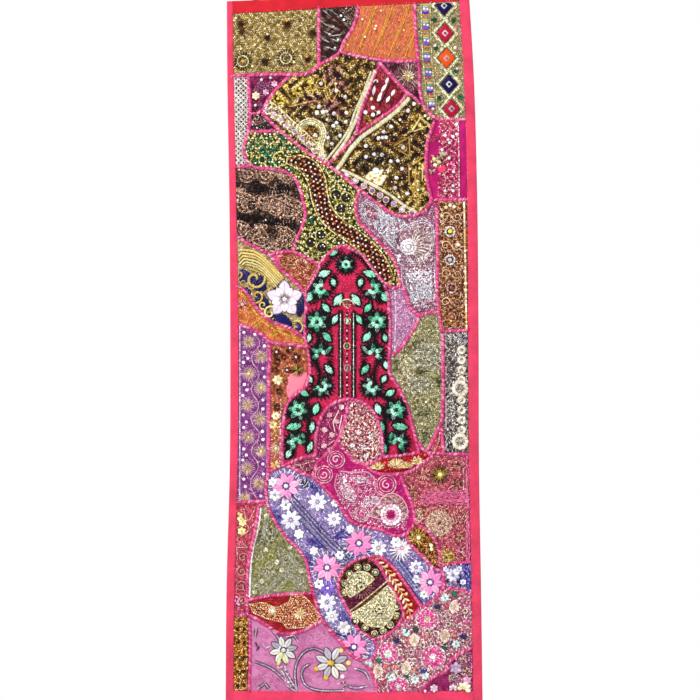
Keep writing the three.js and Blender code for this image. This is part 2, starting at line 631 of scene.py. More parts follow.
def thickened(bm, thick):
    """Gives a sheet its back, this far behind its face."""
    made = bmesh.ops.extrude_face_region(bm, geom=list(bm.faces))
    front = {e for e in made["geom"] if isinstance(e, bmesh.types.BMVert)}
    for vert in bm.verts:
        if vert not in front:
            vert.co.z -= thick


def lay_out(mesh):
    """A bake map that gives nearly all of its room to the face that shows."""
    hidden = np.array([p.normal[1] > -0.2 for p in mesh.polygons])
    hidden = np.repeat(hidden, [p.loop_total for p in mesh.polygons])
    vertex = np.empty(len(mesh.loops), np.int32)
    mesh.loops.foreach_get("vertex_index", vertex)
    at = np.array([v.co for v in mesh.vertices])[vertex][:, [0, 2]]
    u, v = ((at - at.min(0)) / np.ptp(at, axis=0)).T
    spot = np.stack([np.where(hidden, 0.95 + 0.04 * u, 0.01 + 0.92 * u), 0.01 + 0.98 * v], 1)
    mesh.uv_layers.new(name="OFBake").uv.foreach_set("vector", spot.astype(np.float32).ravel())


# ---- patches -----------------------------------------------------------------------------------


PUCKER = 0.16
PUCKER_REACH = 6  # from a seam, over which the puckers and the swelling of a patch come up
PUFF_REACH = 9
TUCK_REACH = 7  # from a binding, over which the layers of patches sink down to pass under it


class Patch:
    """One piece of cloth: its outline, and how far out its face stands."""

    def __init__(self, name, outline):
        self.name = name
        x, z = curve(outline, step=4.0, closed=True).T
        x = np.clip(x, EDGE["left seam"](z) - TUCKED, EDGE["right seam"](z) + TUCKED)
        z = np.clip(z, EDGE["bottom seam"](x) - TUCKED, EDGE["top seam"](x) + TUCKED)
        self.line = np.stack([x, z], 1)
        self.cut = grown(self.line, TURNED_IN)
        self.layer = 0

    def meets(self, other):
        return inside(other.cut, self.cut).any() or inside(self.cut, other.cut).any()

    def height(self, x, z):
        """How far out the face stands: it swells from its seam and is drawn up into puckers."""
        points = np.stack([x, z], 1)
        _, deep = nearest(self.line, points)
        deep = np.where(inside(self.line, points), deep, 0)
        pucker = np.sin(x / 6.1 + 2 * np.sin(z / 13)) + np.sin(z / 5.3 + 2 * np.sin(x / 11))
        drawn_up = PUCKER * pucker * np.minimum(1, deep / PUCKER_REACH)
        swell = size("puff") * (1 - np.exp(-deep / PUFF_REACH)) + drawn_up
        tuck = np.clip(room(x, z) / TUCK_REACH, 0, 1)
        return FIRST_PATCH + size("patch_thickness") + (self.layer * size("layer_step") + swell) * tuck


BENT = 0.31  # a patch that fills less of its rectangle is a bent strip, whose width is less
STRAIGHT = 0.8  # how much of its rectangle such a strip fills when it is straightened


def flat_size(outline):
    """Width, length and area, in metres, of the smallest rectangle that an outline is cut from."""
    best = min((sorted(np.ptp(turned(outline, a), axis=0)) for a in range(0, 90, 5)), key=math.prod)
    return (best[0] * MM, best[1] * MM), abs(signed_area(outline)) * MM * MM


def band(centre, halves):
    """The outline of a band with this centre line, by its half-width at each of its points."""
    centre, halves = np.array(centre, float), np.array(halves, float)[:, None]
    ahead = unit(np.gradient(centre, axis=0))
    aside = np.stack([-ahead[:, 1], ahead[:, 0]], 1)
    return np.vstack([centre + aside * halves, (centre - aside * halves)[::-1]])


# name of the patch: the cloth it is cut from, and its outline
PATCHES = {
    "gold_brocade": (
        ("brocade", "#947840", "#ccb068", (6, 6), 20, 0.5, 0.5, "#64481c"),
        [(-245, -15), (-62, -10), (-62, -138), (-75, -151), (-100, -158), (-140, -157), (-245, -160)],
    ),
    "charcoal_silk": (
        ("silk", "#2c1410", "#5c2828", (8, 3), 35, 0.0, 0.52),
        [(-62, -10), (18, -8), (12, -48), (2, -70), (-12, -92), (-20, -112), (-38, -126), (-62, -138)],
    ),
    "orange_silk": (
        ("silk", "#e8884c", "#dc6c5c", (4, 9), -20, 0.0, 0.56),
        [(18, -8), (130, 0), (131, -60), (137, -128), (100, -131), (62, -128), (20, -121), (-20, -112),
         (-12, -92), (2, -70), (12, -48)],
    ),
    "diamond_border": (
        ("brocade", "#a8a070", "#dcd4a8", (4, 4), 0, 0.0, 0.52, "#7c5c4c"),
        [(130, 0), (240, 5), (250, -247), (172, -246), (150, -225), (140, -190), (139, -150), (137, -128),
         (131, -60)],
    ),
    "plum_star": (
        ("velvet", "#4c0c30", "#7c4c54", (5, 5), 0, 0.0, 0.55),
        [(58, -132), (100, -131), (137, -128), (139, -150), (140, -190), (150, -225), (128, -203),
         (115, -193), (88, -166)],
    ),
    "crimson_bars": (
        ("silk", "#7c1824", "#b83448", (4, 8), -30, 0.0, 0.55),
        [(58, -140), (88, -166), (115, -193), (100, -215), (60, -245), (12, -278), (20, -240), (35, -195),
         (48, -160)],
    ),
    "sequin_left": (
        ("brocade", "#34200c", "#7c5820", (5, 5), 0, 0.0, 0.52, "#4c2420"),
        [(-38, -126), (-20, -113), (20, -122), (58, -132), (48, -160), (35, -195), (20, -240), (10, -280),
         (-15, -308), (-45, -338), (-85, -312), (-118, -287), (-140, -270), (-160, -250), (-175, -232),
         (-162, -207), (-145, -185), (-120, -163), (-100, -158), (-75, -151), (-62, -138)],
    ),
    "sequin_right": (
        ("brocade", "#34200c", "#7c5820", (5, 5), 0, 0.0, 0.52, "#4c2420"),
        [(115, -193), (128, -203), (150, -225), (170, -246), (165, -262), (155, -290), (152, -330),
         (154, -370), (163, -408), (150, -431), (120, -440), (92, -438), (60, -418), (35, -400), (20, -388),
         (0, -372), (-20, -355), (-45, -338), (-15, -308), (10, -280), (60, -245), (100, -215)],
    ),
    "white_net": (
        ("gauze", "#f0e4dc", "#ccb0a8", (5, 5), 45, 0.0, 0.5),
        [(-245, -160), (-203, -160), (-201, -200), (-200, -240), (-204, -275), (-211, -300), (-210, -320),
         (-200, -340), (-245, -343)],
    ),
    "plum_silk": (
        ("silk", "#6c0c38", "#9c3868", (12, 8), 0, 0.0, 0.56),
        [(-203, -160), (-140, -157), (-120, -163), (-145, -185), (-162, -207), (-178, -232), (-197, -236),
         (-200, -200)],
    ),
    "black_and_cream": (
        ("silk", "#14080a", "#a88078", (5, 5), 0, 0.0, 0.52),
        [(-198, -238), (-178, -232), (-165, -245), (-145, -265), (-150, -270), (-204, -272)],
    ),
    "green_beadwork": (
        ("silk", "#10241c", "#3c2c10", (9, 9), 0, 0.0, 0.52),
        [(-204, -272), (-150, -270), (-140, -270), (-118, -287), (-85, -312), (-60, -328), (-45, -338),
         (-20, -355), (0, -372), (20, -388), (12, -410), (15, -445), (40, -475), (75, -510), (95, -545),
         (102, -578), (85, -585), (60, -565), (25, -520), (-15, -498), (-42, -515), (-62, -536), (-90, -522),
         (-113, -511), (-108, -490), (-96, -465), (-89, -435), (-96, -400), (-108, -368), (-125, -353),
         (-150, -347), (-190, -342), (-208, -333), (-211, -300)],
    ),
    "paisley_brocade": (
        ("brocade", "#1c1214", "#5c3428", (5, 5), 0, 0.4, 0.55, "#8c6c58"),
        [(-245, -343), (-190, -342), (-150, -347), (-125, -353), (-108, -368), (-96, -400), (-89, -435),
         (-96, -465), (-108, -490), (-113, -511), (-140, -513), (-160, -518), (-185, -504), (-210, -492),
         (-226, -480), (-245, -478)],
    ),
    "magenta_silk": (
        ("satin", "#e01c84", "#c81474", (20, 30), 0, 0.0, 0.5),
        [(172, -246), (250, -247), (250, -407), (163, -408), (154, -370), (152, -330), (155, -290),
         (165, -262)],
    ),
    "silver_scroll": (
        ("silk", "#a85c7c", "#7c3c5c", (5, 5), 0, 0.0, 0.5),
        [(20, -388), (35, -400), (60, -418), (92, -438), (120, -440), (150, -431), (165, -412), (174, -420),
         (175, -520), (175, -600), (178, -632), (155, -634), (140, -640), (122, -625), (112, -595),
         (102, -578), (95, -545), (75, -510), (40, -475), (15, -445), (12, -410)],
    ),
    "copper_buttons": (
        ("brocade", "#743c18", "#c88850", (5, 5), 0, 0.5, 0.5, "#4c2010"),
        [(170, -410), (250, -407), (250, -668), (184, -670), (178, -632), (175, -600), (175, -520),
         (174, -420)],
    ),
    "gold_scrolls": (
        ("satin", "#c8b088", "#947c4c", (12, 12), 30, 0.0, 0.6),
        [(-245, -478), (-226, -482), (-210, -492), (-185, -504), (-160, -520), (-140, -545), (-118, -565),
         (-92, -592), (-88, -605), (-90, -650), (-90, -684), (-125, -662), (-155, -652), (-178, -633),
         (-190, -618), (-210, -590), (-226, -580), (-245, -578)],
    ),
    "orange_band": (
        ("silk", "#f09848", "#d87028", (6, 6), 20, 0.0, 0.52),
        [(-245, -578), (-226, -580), (-210, -590), (-190, -618), (-178, -633), (-155, -652), (-125, -662),
         (-90, -684), (-86, -702), (-120, -697), (-162, -690), (-175, -678), (-200, -665), (-226, -655),
         (-245, -655)],
    ),
    "rust_scrap": (
        ("brocade", "#983828", "#d88058", (4, 4), 0, 0.0, 0.5),
        [(-160, -518), (-140, -513), (-113, -511), (-90, -522), (-62, -536), (-62, -545), (-80, -578),
         (-90, -595), (-118, -565), (-140, -545)],
    ),
    "crimson_yoke": (
        ("silk", "#e02c5c", "#d02050", (20, 20), 0, 0.0, 0.55),
        [(-13, -497), (8, -503), (25, -520), (45, -545), (62, -570), (75, -597), (79, -640), (80, -690),
         (78, -730), (80, -757), (95, -780), (108, -805), (120, -840), (130, -880), (138, -912), (100, -918),
         (66, -922), (66, -895), (60, -860), (45, -828), (22, -811), (-2, -806), (-30, -813), (-52, -832),
         (-65, -865), (-69, -900), (-68, -918), (-100, -925), (-135, -940), (-135, -890), (-132, -845),
         (-126, -820), (-112, -800), (-92, -785), (-82, -765), (-80, -730), (-85, -700), (-90, -650),
         (-88, -605), (-80, -578), (-62, -545), (-42, -518), (-28, -503)],
    ),
    "magenta_leaf": (
        ("silk", "#b83074", "#8c1c54", (12, 12), 0, 0.0, 0.52),
        [(-30, -813), (-2, -806), (-8, -840), (-15, -862), (-25, -890), (-45, -915), (-62, -930),
         (-69, -918), (-69, -900), (-65, -865), (-52, -832)],
    ),
    "speckled_leaf": (
        ("brocade", "#c87880", "#7c1828", (4, 4), 0, 0.0, 0.54),
        [(-2, -806), (22, -811), (45, -828), (60, -860), (66, -895), (66, -922), (35, -936), (12, -932),
         (-5, -915), (-25, -893), (-15, -862), (-8, -840)],
    ),
    "lilac_speckle": (
        ("silk", "#d898c4", "#b078a4", (5, 7), 0, 0.0, 0.5),
        [(75, -590), (88, -584), (102, -578), (112, -595), (122, -625), (140, -640), (128, -665),
         (105, -700), (85, -720), (80, -690), (79, -640)],
    ),
    "olive_brocade": (
        ("brocade", "#948c54", "#c8c094", (6, 8), -20, 0.4, 0.52, "#6c5c34"),
        [(178, -632), (184, -670), (186, -740), (186, -800), (183, -850), (172, -875), (160, -900),
         (150, -912), (142, -900), (130, -870), (120, -835), (108, -803), (95, -780), (80, -757), (79, -728),
         (85, -718), (105, -700), (128, -665), (140, -640), (155, -634)],
    ),
    "crimson_sliver": (
        ("silk", "#d84860", "#a83040", (5, 5), 0, 0.0, 0.54),
        [(183, -850), (187, -915), (150, -913), (160, -900), (172, -875)],
    ),
    "purple_suns": (
        ("silk", "#9c48a0", "#7c3484", (10, 10), 0, 0.0, 0.52),
        [(-245, -655), (-226, -655), (-200, -665), (-175, -680), (-164, -692), (-162, -760), (-162, -880),
         (-163, -950), (-168, -990), (-165, -1010), (-245, -1012)],
    ),
    "coral_flowers": (
        ("satin", "#dc7c5c", "#b85838", (10, 10), 0, 0.0, 0.52),
        [(-164, -692), (-120, -697), (-86, -702), (-80, -730), (-82, -765), (-92, -785), (-112, -800),
         (-126, -820), (-132, -845), (-135, -890), (-135, -940), (-150, -945), (-163, -955), (-162, -880),
         (-162, -760)],
    ),
    "lace_strip": (
        ("velvet", "#645854", "#a89c94", (4, 4), 0, 0.0, 0.55),
        [(186, -668), (250, -666), (250, -917), (187, -915), (186, -800), (186, -740)],
    ),
    "red_sprays": (
        ("silk", "#c01820", "#8c0c14", (12, 12), 0, 0.0, 0.52),
        [(30, -938), (66, -922), (100, -918), (138, -912), (150, -913), (165, -920), (145, -935),
         (125, -948), (100, -955), (60, -955), (45, -950)],
    ),
    "dusty_pink": (
        ("silk", "#d05c74", "#9c3444", (5, 5), 0, 0.0, 0.52),
        [(165, -920), (187, -915), (250, -917), (250, -1132), (200, -1135), (180, -1140), (178, -1110),
         (168, -1085), (150, -1065), (132, -1055), (125, -1020), (112, -985), (100, -955), (125, -948),
         (145, -935)],
    ),
    "magenta_spirals": (
        ("silk", "#dc2484", "#c0187c", (20, 20), 0, 0.0, 0.52),
        [(-25, -893), (-5, -915), (12, -932), (35, -936), (45, -950), (60, -955), (100, -955), (112, -985),
         (125, -1020), (130, -1050), (115, -1075), (95, -1080), (60, -1066), (20, -1058), (0, -1048),
         (-20, -1020), (-45, -990), (-75, -960), (-62, -930), (-45, -915)],
    ),
    "dusty_maroon": (
        ("velvet", "#8c3050", "#b85c70", (5, 5), 0, 0.0, 0.54),
        [(-135, -940), (-108, -930), (-68, -918), (-62, -930), (-75, -960), (-95, -955), (-115, -943)],
    ),
    "lavender_flowers": (
        ("silk", "#a490cc", "#7c6cb4", (18, 18), 0, 0.0, 0.58),
        [(-163, -955), (-150, -945), (-135, -940), (-115, -943), (-95, -955), (-75, -960), (-45, -990),
         (-20, -1020), (0, -1048), (20, -1058), (60, -1066), (95, -1080), (112, -1080), (125, -1100),
         (150, -1125), (170, -1145), (185, -1150), (188, -1180), (175, -1200), (150, -1218), (142, -1220),
         (115, -1180), (85, -1140), (60, -1122), (30, -1122), (0, -1135), (-20, -1160), (-22, -1190),
         (-10, -1215), (5, -1245), (20, -1270), (45, -1285), (57, -1300), (45, -1328), (20, -1328),
         (0, -1315), (-20, -1290), (-45, -1262), (-60, -1240), (-70, -1205), (-80, -1170), (-88, -1130),
         (-105, -1105), (-130, -1080), (-150, -1050), (-165, -1015), (-168, -990)],
    ),
    "maroon_medallion": (
        ("velvet", "#2c0a0a", "#5c2018", (8, 8), 0, 0.0, 0.52),
        [(0, -1135), (30, -1124), (50, -1130), (65, -1150), (80, -1178), (95, -1205), (108, -1235),
         (95, -1260), (75, -1277), (45, -1285), (20, -1270), (5, -1245), (-10, -1215), (-22, -1190),
         (-20, -1160)],
    ),
    "red_and_gold": (
        ("silk", "#c0141c", "#8c0810", (10, 10), 0, 0.0, 0.52),
        [(45, -1124), (60, -1122), (85, -1140), (115, -1180), (142, -1220), (125, -1240), (110, -1250),
         (108, -1235), (95, -1205), (80, -1178), (65, -1150), (50, -1130)],
    ),
    "olive_gold": (
        ("brocade", "#5c300c", "#b8802c", (5, 5), 0, 0.0, 0.52),
        [(115, -1075), (132, -1058), (150, -1065), (168, -1085), (178, -1110), (180, -1140), (165, -1140),
         (150, -1125), (125, -1100)],
    ),
    "olive_branches": (
        ("silk", "#a8a478", "#848050", (10, 10), 0, 0.0, 0.52),
        [(-182, -1020), (-165, -1015), (-150, -1050), (-130, -1080), (-105, -1105), (-88, -1130),
         (-80, -1170), (-75, -1194), (-100, -1195), (-150, -1198), (-205, -1207), (-205, -1160),
         (-198, -1110), (-188, -1065)],
    ),
    "dusty_red": (
        ("silk", "#d85870", "#a8384c", (6, 8), 0, 0.0, 0.52),
        [(-245, -1012), (-168, -1012), (-182, -1020), (-188, -1065), (-198, -1110), (-205, -1160),
         (-205, -1237), (-245, -1237)],
    ),
    "red_lens": (
        ("silk", "#b81424", "#8c3c14", (9, 9), 0, 0.0, 0.5),
        [(-205, -1207), (-150, -1198), (-100, -1195), (-75, -1200), (-60, -1232), (-55, -1248),
         (-85, -1265), (-115, -1275), (-145, -1272), (-165, -1258), (-200, -1237)],
    ),
    "gold_ladder": (
        ("brocade", "#6c3c0c", "#b8802c", (5, 5), 0, 0.0, 0.48, "#3c1c06"),
        [(-245, -1237), (-205, -1237), (-201, -1240), (-200, -1300), (-202, -1400), (-245, -1400)],
    ),
    "orchid_satin": (
        ("satin", "#f098cc", "#e080b8", (30, 18), 25, 0.0, 0.52),
        [(-200, -1237), (-165, -1258), (-145, -1272), (-115, -1275), (-85, -1265), (-55, -1248),
         (-45, -1262), (-20, -1290), (0, -1315), (20, -1328), (40, -1345), (50, -1370), (55, -1402),
         (-202, -1402), (-200, -1300)],
    ),
    "gem_wheels": (
        ("silk", "#d88c9c", "#a0607c", (5, 5), 0, 0.0, 0.52),
        [(142, -1220), (150, -1218), (175, -1200), (188, -1182), (210, -1185), (252, -1200), (252, -1300),
         (215, -1318), (200, -1330), (190, -1350), (165, -1362), (145, -1385), (140, -1402), (55, -1402),
         (50, -1370), (40, -1345), (20, -1328), (45, -1328), (57, -1300), (45, -1285), (75, -1277),
         (95, -1260), (110, -1250), (125, -1240)],
    ),
    "blue_and_white": (
        ("satin", "#a8a0d0", "#5448b0", (12, 12), 0, 0.0, 0.54),
        [(180, -1140), (200, -1135), (252, -1132), (252, -1200), (210, -1185), (188, -1180), (185, -1150)],
    ),
    "plum_velvet": (
        ("velvet", "#a01c64", "#b83c80", (14, 14), 0, 0.0, 0.52),
        [(252, -1298), (215, -1318), (200, -1330), (190, -1350), (165, -1362), (145, -1385), (140, -1402),
         (252, -1402)],
    ),
    "maroon_band": (
        ("velvet", "#3c060c", "#200406", (9, 9), 0, 0.0, 0.5),
        band(
            [(-128, -328), (-100, -333), (-78, -348), (-65, -375), (-60, -405), (-48, -435), (-22, -462),
             (8, -482), (35, -505), (60, -540), (78, -575)],
            [8, 17, 20, 20, 19, 19, 18, 18, 19, 20, 15],
        ),
    ),
}
APPLIED = {"maroon_band": "green_beadwork"}  # what is sewn on another patch, without a seam cord

LAID = {}  # the patches, in their layers


def patches():
    """The patches by name, each in the lowest layer that none of the patches it meets has taken."""
    if not LAID:
        for name, (_, outline) in PATCHES.items():
            patch = Patch(name, outline)
            taken = {other.layer for other in LAID.values() if patch.meets(other)}
            if name in APPLIED:
                taken |= set(range(LAID[APPLIED[name]].layer + 1))
            patch.layer = next(n for n in range(12) if n not in taken)
            LAID[name] = patch
    return LAID


def topmost(x, z):
    """How far out the highest patch stands at each place."""
    points = np.stack([x, z], 1)
    out = np.full(len(x), FIRST_PATCH + size("patch_thickness"))
    for patch in patches().values():
        here = inside(patch.cut, points)
        if here.any():
            out[here] = np.maximum(out[here], patch.height(x[here], z[here]))
    return out


def sew_patch(patch, material):
    """The patch as thin cloth on the ground panel."""
    bm = cut_cloth(patch.cut, size("cell"))
    verts = list(bm.verts)
    x, z = np.array([v.co[:2] for v in verts]).T
    for vert, out in zip(verts, patch.height(x, z)):
        vert.co.z = out
    thickened(bm, size("patch_thickness"))
    mesh = to_mesh(bm, patch.name)
    lay_out(mesh)
    piece = as_piece(patch.name, mesh, material)
    flat, area = flat_size(patch.cut)
    if area < BENT * math.prod(flat):
        flat = (area / STRAIGHT / flat[1], flat[1])


# ---- needlework --------------------------------------------------------------------------------

# a small closed form of needlework: its finish, and how wide and how high it is for its length
FORMS = {
    "fleck": ("floss", 0.42, 0.34),
    "dash": ("floss", 0.3, 0.28),
    "petal": ("floss", 0.5, 0.16),
    "seed": ("beads", 0.88, 0.7),
    "pearl": ("beads", 1.0, 0.6),
    "stone": ("beads", 0.8, 0.45),
    "sequin": ("sequins", 1.0, 0.25),
}
ROUND = {  # the forms made from a sphere: its sides and its rings, from pole to pole
    "fleck": (4, 2),
    "seed": (5, 2),
    "pearl": (8, 4),
    "dash": (3, 3),
    "petal": (6, 4),
}
LYING = ("fleck", "dash", "petal")  # forms whose poles are their ends
TALLEST = 1.4
PILED = 1.1  # how far out the last of many layers of work on one patch lies
LARGE = 3.0  # forms longer than this differ less in shade
SHAPES = {}


def shape(name):
    """A small closed form of half-size 1, as points of long, wide and out, and triangles."""
    if name in SHAPES:
        return SHAPES[name]
    bm = bmesh.new()
    if name in ROUND:
        sides, rings = ROUND[name]
        bmesh.ops.create_uvsphere(bm, u_segments=sides, v_segments=rings, radius=1.0)
    elif name == "sequin":
        bmesh.ops.create_cone(bm, cap_ends=True, segments=8, radius1=0.35, radius2=1.0, depth=1.0)
    elif name == "stone":
        bmesh.ops.create_cone(bm, cap_ends=True, segments=7, radius1=1.0, radius2=0.55, depth=1.4)
    if name in LYING:
        for vert in bm.verts:
            vert.co = (vert.co.z, vert.co.x, vert.co.y)
    if name == "petal":
        for vert in bm.verts:
            vert.co.y *= 1.15 - 0.6 * vert.co.x**2
    bmesh.ops.remove_doubles(bm, verts=bm.verts, dist=1e-4)
    bmesh.ops.recalc_face_normals(bm, faces=bm.faces)
    bmesh.ops.triangulate(bm, faces=bm.faces)
    bm.verts.index_update()
    points = np.array([v.co for v in bm.verts])
    SHAPES[name] = points, np.array([[v.index for v in f.verts] for f in bm.faces])
    bm.free()
    return SHAPES[name]


class Needlework:
    """Small closed shapes sewn on the cloth, kept by finish and joined at the end."""

    def __init__(self, name):
        self.name = name
        self.kept = {finish: [] for finish in FINISHES}
        self.height, self.line, self.layers, self.covered = topmost, None, 0, []
        self.rng = np.random.default_rng(zlib.crc32(name.encode()))

    def on(self, patch):
        """Goes on to work on this patch, inside its seams."""
        self.height, self.layers = patch.height, 0
        self.line = grown(patch.line, -CLEAR)
        self.covered = [patches()[top].cut for top, under in APPLIED.items() if under == patch.name]
        self.rng = np.random.default_rng(zlib.crc32(patch.name.encode()))
        return self

    def rise(self):
        """How far out the next layer of work lies: each a little above the last."""
        self.layers += 1
        return PILED * (1 - math.exp((1 - self.layers) / 5))

    def holds(self, at):
        if self.line is None:
            return np.ones(len(at), bool)
        free = inside(self.line, at) & (room(*at.T) > CLEAR)
        for outline in self.covered:
            free &= ~inside(outline, at)
        return free

    def choose(self, hues, at, grain=0.0):
        """A hue for each place: at random, or from deep to pale in curls of this grain."""
        hues = np.array(HUES.get(hues, hues).split())
        if not grain:
            return hues[self.rng.integers(len(hues), size=len(at))]
        x, z = at.T / grain
        x, z = x + 1.2 * np.sin(0.9 * z + 1), z + 1.2 * np.sin(0.8 * x + 2)
        level = np.sin(2.1 * x + 1.7 * np.sin(0.7 * z)) + np.sin(1.9 * z + 1.5 * np.sin(0.6 * x))
        level += self.rng.normal(0, 0.3, len(at))
        return hues[level.argsort().argsort() * len(hues) // len(at)]

    def keep(self, finish, hues, points, triangles, names, level):
        if finish == "floss" and hues in METALS:
            finish = "metal"
        self.kept[finish].append((points, triangles, names, np.clip(level, 0, 1)))

    def put(self, form, at, size, hues, turn=0.0, lift=0.0, grain=0.0):
        """A form at each place. size is its half-length, or that and its half-width; turn is in radians."""
        at = np.atleast_2d(np.asarray(at, float))
        free = self.holds(at)
        if not free.any():
            return
        turn = np.broadcast_to(turn, len(at))[free][:, None]
        at = at[free]
        finish, broad, high = FORMS[form]
        long, wide = size if np.ndim(size) else (size, size * broad)
        tall = min(TALLEST, high / broad * wide)
        points, triangles = shape(form)
        u, v, w = (points * (long, wide, tall)).T
        out = self.height(*at.T)[:, None] + lift + w + tall * 0.75
        x = at[:, :1] + u * np.cos(turn) - v * np.sin(turn)
        z = at[:, 1:] + u * np.sin(turn) + v * np.cos(turn)
        step = len(points) * np.arange(len(at))[:, None, None]
        # painted light and shade: paler on top and towards one end, darker down the sides
        shade = 0.2 * points[:, 2] - 0.14 * np.abs(points[:, 1]) + 0.05 * points[:, 0]
        spread = 0.4 if long < LARGE else 0.16
        level = self.rng.uniform(0.5 - spread, 0.5 + spread, len(at))[:, None] + shade
        names = np.repeat(self.choose(hues, at, grain), len(points))
        placed = np.stack([x, z, out], 2).reshape(-1, 3)
        self.keep(finish, hues, placed, (triangles + step).reshape(-1, 3), names, level.ravel())

    def thread(self, path, width, hues, tall=None, sides=4):
        """A thread or cord along a path, closed at its ends."""
        tall = width * 0.7 if tall is None else tall
        path = evenly(path, max(width, 2.2))
        lift = self.rise()
        for run in runs(self.holds(path), 3):
            self.sweep(path[run], width, tall, hues, sides, lift)

    def sweep(self, path, width, tall, hues, sides, lift):
        aside = unit(np.gradient(path, axis=0))[:, ::-1] * (-1, 1)
        run = run_of(path)
        around = TAU * np.arange(sides) / sides
        fade = np.minimum(1, 0.35 + np.minimum(run, run[-1] - run) / width)[:, None]
        flat = path[:, None] + aside[:, None] * (np.cos(around) * fade * width / 2)[..., None]
        middle = self.height(*path.T)[:, None] + lift + tall * 0.4
        out = middle + np.sin(around) * fade * tall / 2
        rings = np.concatenate([flat, out[..., None]], 2).reshape(-1, 3)
        placed = np.vstack([rings, [*path[0], middle[0, 0]], [*path[-1], middle[-1, 0]]])
        k = np.arange(sides)
        after = (k + 1) % sides
        base = sides * np.arange(len(path) - 1)[:, None]
        quads = base + k, base + after, base + sides + after, base + sides + k
        walls = [np.stack([quads[0], quads[m], quads[m + 1]], 2).reshape(-1, 3) for m in (1, 2)]
        last = (len(path) - 1) * sides
        first_cap = np.stack([after, k, 0 * k + last + sides], 1)
        last_cap = np.stack([k + last, after + last, 0 * k + last + sides + 1], 1)
        # painted light and shade: paler along the top of the thread, darker underneath
        level = 0.5 + self.rng.uniform(-0.15, 0.15) + 0.06 * np.sin(around) * np.ones_like(fade)
        level = np.append(level.ravel(), (0.5, 0.5))
        names = np.repeat(self.choose(hues, path[:1]), len(placed))
        self.keep("floss", hues, placed, np.vstack([*walls, first_cap, last_cap]), names, level)

    def pad(self, outline, hues, tall=0.8, lift=None):
        """Padded satin stitch that fills a rounded outline, with painted shade at its edge and a paler
        painted top.
        """
        lift = self.rise() if lift is None else lift
        line = evenly(looped(outline), 3.0)[:-1]
        middle = line.mean(0)
        for _ in range(8):
            loose = ~self.holds(line)
            line[loose] += 0.2 * (middle - line[loose])
        if not self.holds(middle[None])[0]:
            return
        count = len(line)
        brim = middle + 0.84 * (line - middle)
        base = self.height(*line.T) + lift
        top = np.maximum(self.height(*brim.T), base - lift) + lift + tall
        heart = self.height(*middle[None].T)[0] + lift
        placed = np.vstack([
            np.column_stack([line, base]),
            np.column_stack([brim, top]),
            [*middle, max(heart + tall * 1.2, top.mean())],
            [*middle, heart],
        ])
        k = np.arange(count)
        after = (k + 1) % count
        crown = 0 * k + 2 * count
        faces = [(k, after, after + count), (k, after + count, k + count), (k + count, after + count, crown),
                 (after, k, crown + 1)]
        if signed_area(line) < 0:
            faces = [face[::-1] for face in faces]
        # painted shade on the low edge, painted highlight on the raised brim and crown
        level = 0.5 + self.rng.uniform(-0.1, 0.1) + np.repeat([-0.3, 0.1, 0.15], [count, count, 2])
        level[: 2 * count] += self.rng.uniform(-0.12, 0.12, 2 * count)
        names = np.repeat(self.choose(hues, middle[None]), len(placed))
        self.keep("floss", hues, placed, np.concatenate([np.stack(f, 1) for f in faces]), names, level)

    def spots(self, gap, within=None, turn=0.0, wobble=0.3):
        """Places in staggered rows that fill an outline: gap is along and across the rows."""
        outline = self.line if within is None else np.asarray(within, float)
        along, across = np.broadcast_to(gap, 2)
        spun = turned(outline, -turn)
        low, high = spun.min(0), spun.max(0)
        row = np.arange(low[1] + across / 2, high[1], across)[:, None]
        col = np.arange(low[0], high[0] + along, along)
        staggered = col + (np.arange(len(row)) % 2)[:, None] * along / 2
        at = np.stack(np.broadcast_arrays(staggered, row), 2).reshape(-1, 2)
        at = turned(at + self.rng.uniform(-wobble, wobble, at.shape) * (along, across), turn)
        return at[inside(outline, at)]

    def fill(self, form, gap, size, hues, within=None, turn=None, grain=7.0, wobble=0.3):
        """Fills an outline with one form, turned by degrees or at random."""
        at = self.spots(gap, within, turn or 0.0, wobble)
        if len(at):
            lie = self.rng.uniform(0, TAU, len(at)) if turn is None else math.radians(turn)
            self.put(form, at, size, hues, lie, self.rise(), grain)

    def row(self, path, gap, size, hues, form="seed", slant=0.0):
        """A row of one form along a path, each turned from its direction by slant, in degrees."""
        at = evenly(path, gap)
        self.put(form, at, size, hues, heading_of(at) + math.radians(slant), self.rise())

    def dots(self, places, size, hues, form="pearl", turn=0.0):
        self.put(form, places, size, hues, np.radians(turn), self.rise())

    def rings(self, places, radius, hues, bead=1.5, gap=3.0, form="seed"):
        """Beads in a circle round each place."""
        lift = self.rise()
        for spot in np.atleast_2d(places):
            at = evenly(arc(spot, radius), gap)[:-1]
            self.put(form, at, bead, hues, heading_of(at), lift)

    def rays(self, places, inner, outer, count, hues, width=1.0, start=0.0, sweep=360.0):
        """Straight stitches round each place, from an inner to an outer radius."""
        lift = self.rise()
        a = np.radians(start) + np.radians(sweep) * (np.arange(count) + 0.5) / count
        way = np.stack([np.cos(a), np.sin(a)], 1)
        for spot in np.atleast_2d(places):
            self.put("dash", spot + (inner + outer) / 2 * way, ((outer - inner) / 2, width), hues, a, lift)

    def flower(self, places, radius, petals, hues, heart, edge=None, plump=0.8, start=0.0):
        """Flat stitched petals round a heart, each with an outline and a vein where they are large."""
        lift = self.rise()
        a = np.radians(start) + TAU * (np.arange(petals) + 0.5) / petals
        way = np.stack([np.cos(a), np.sin(a)], 1) * radius * 0.56
        wide = plump * radius * 0.46 * TAU / petals
        for spot in np.atleast_2d(places):
            if edge:
                self.put("petal", spot + way, (radius * 0.44 + 1.1, wide + 1.1), edge, a, lift - 0.8)
            self.put("petal", spot + way, (radius * 0.42, wide), hues, a, lift + 0.2)
            if edge and radius > 12:
                self.put("dash", spot + way, (radius * 0.26, 0.5), edge, a, lift + 0.5)
            self.put("pearl", spot, radius * 0.2, heart, 0.0, lift + 0.5)

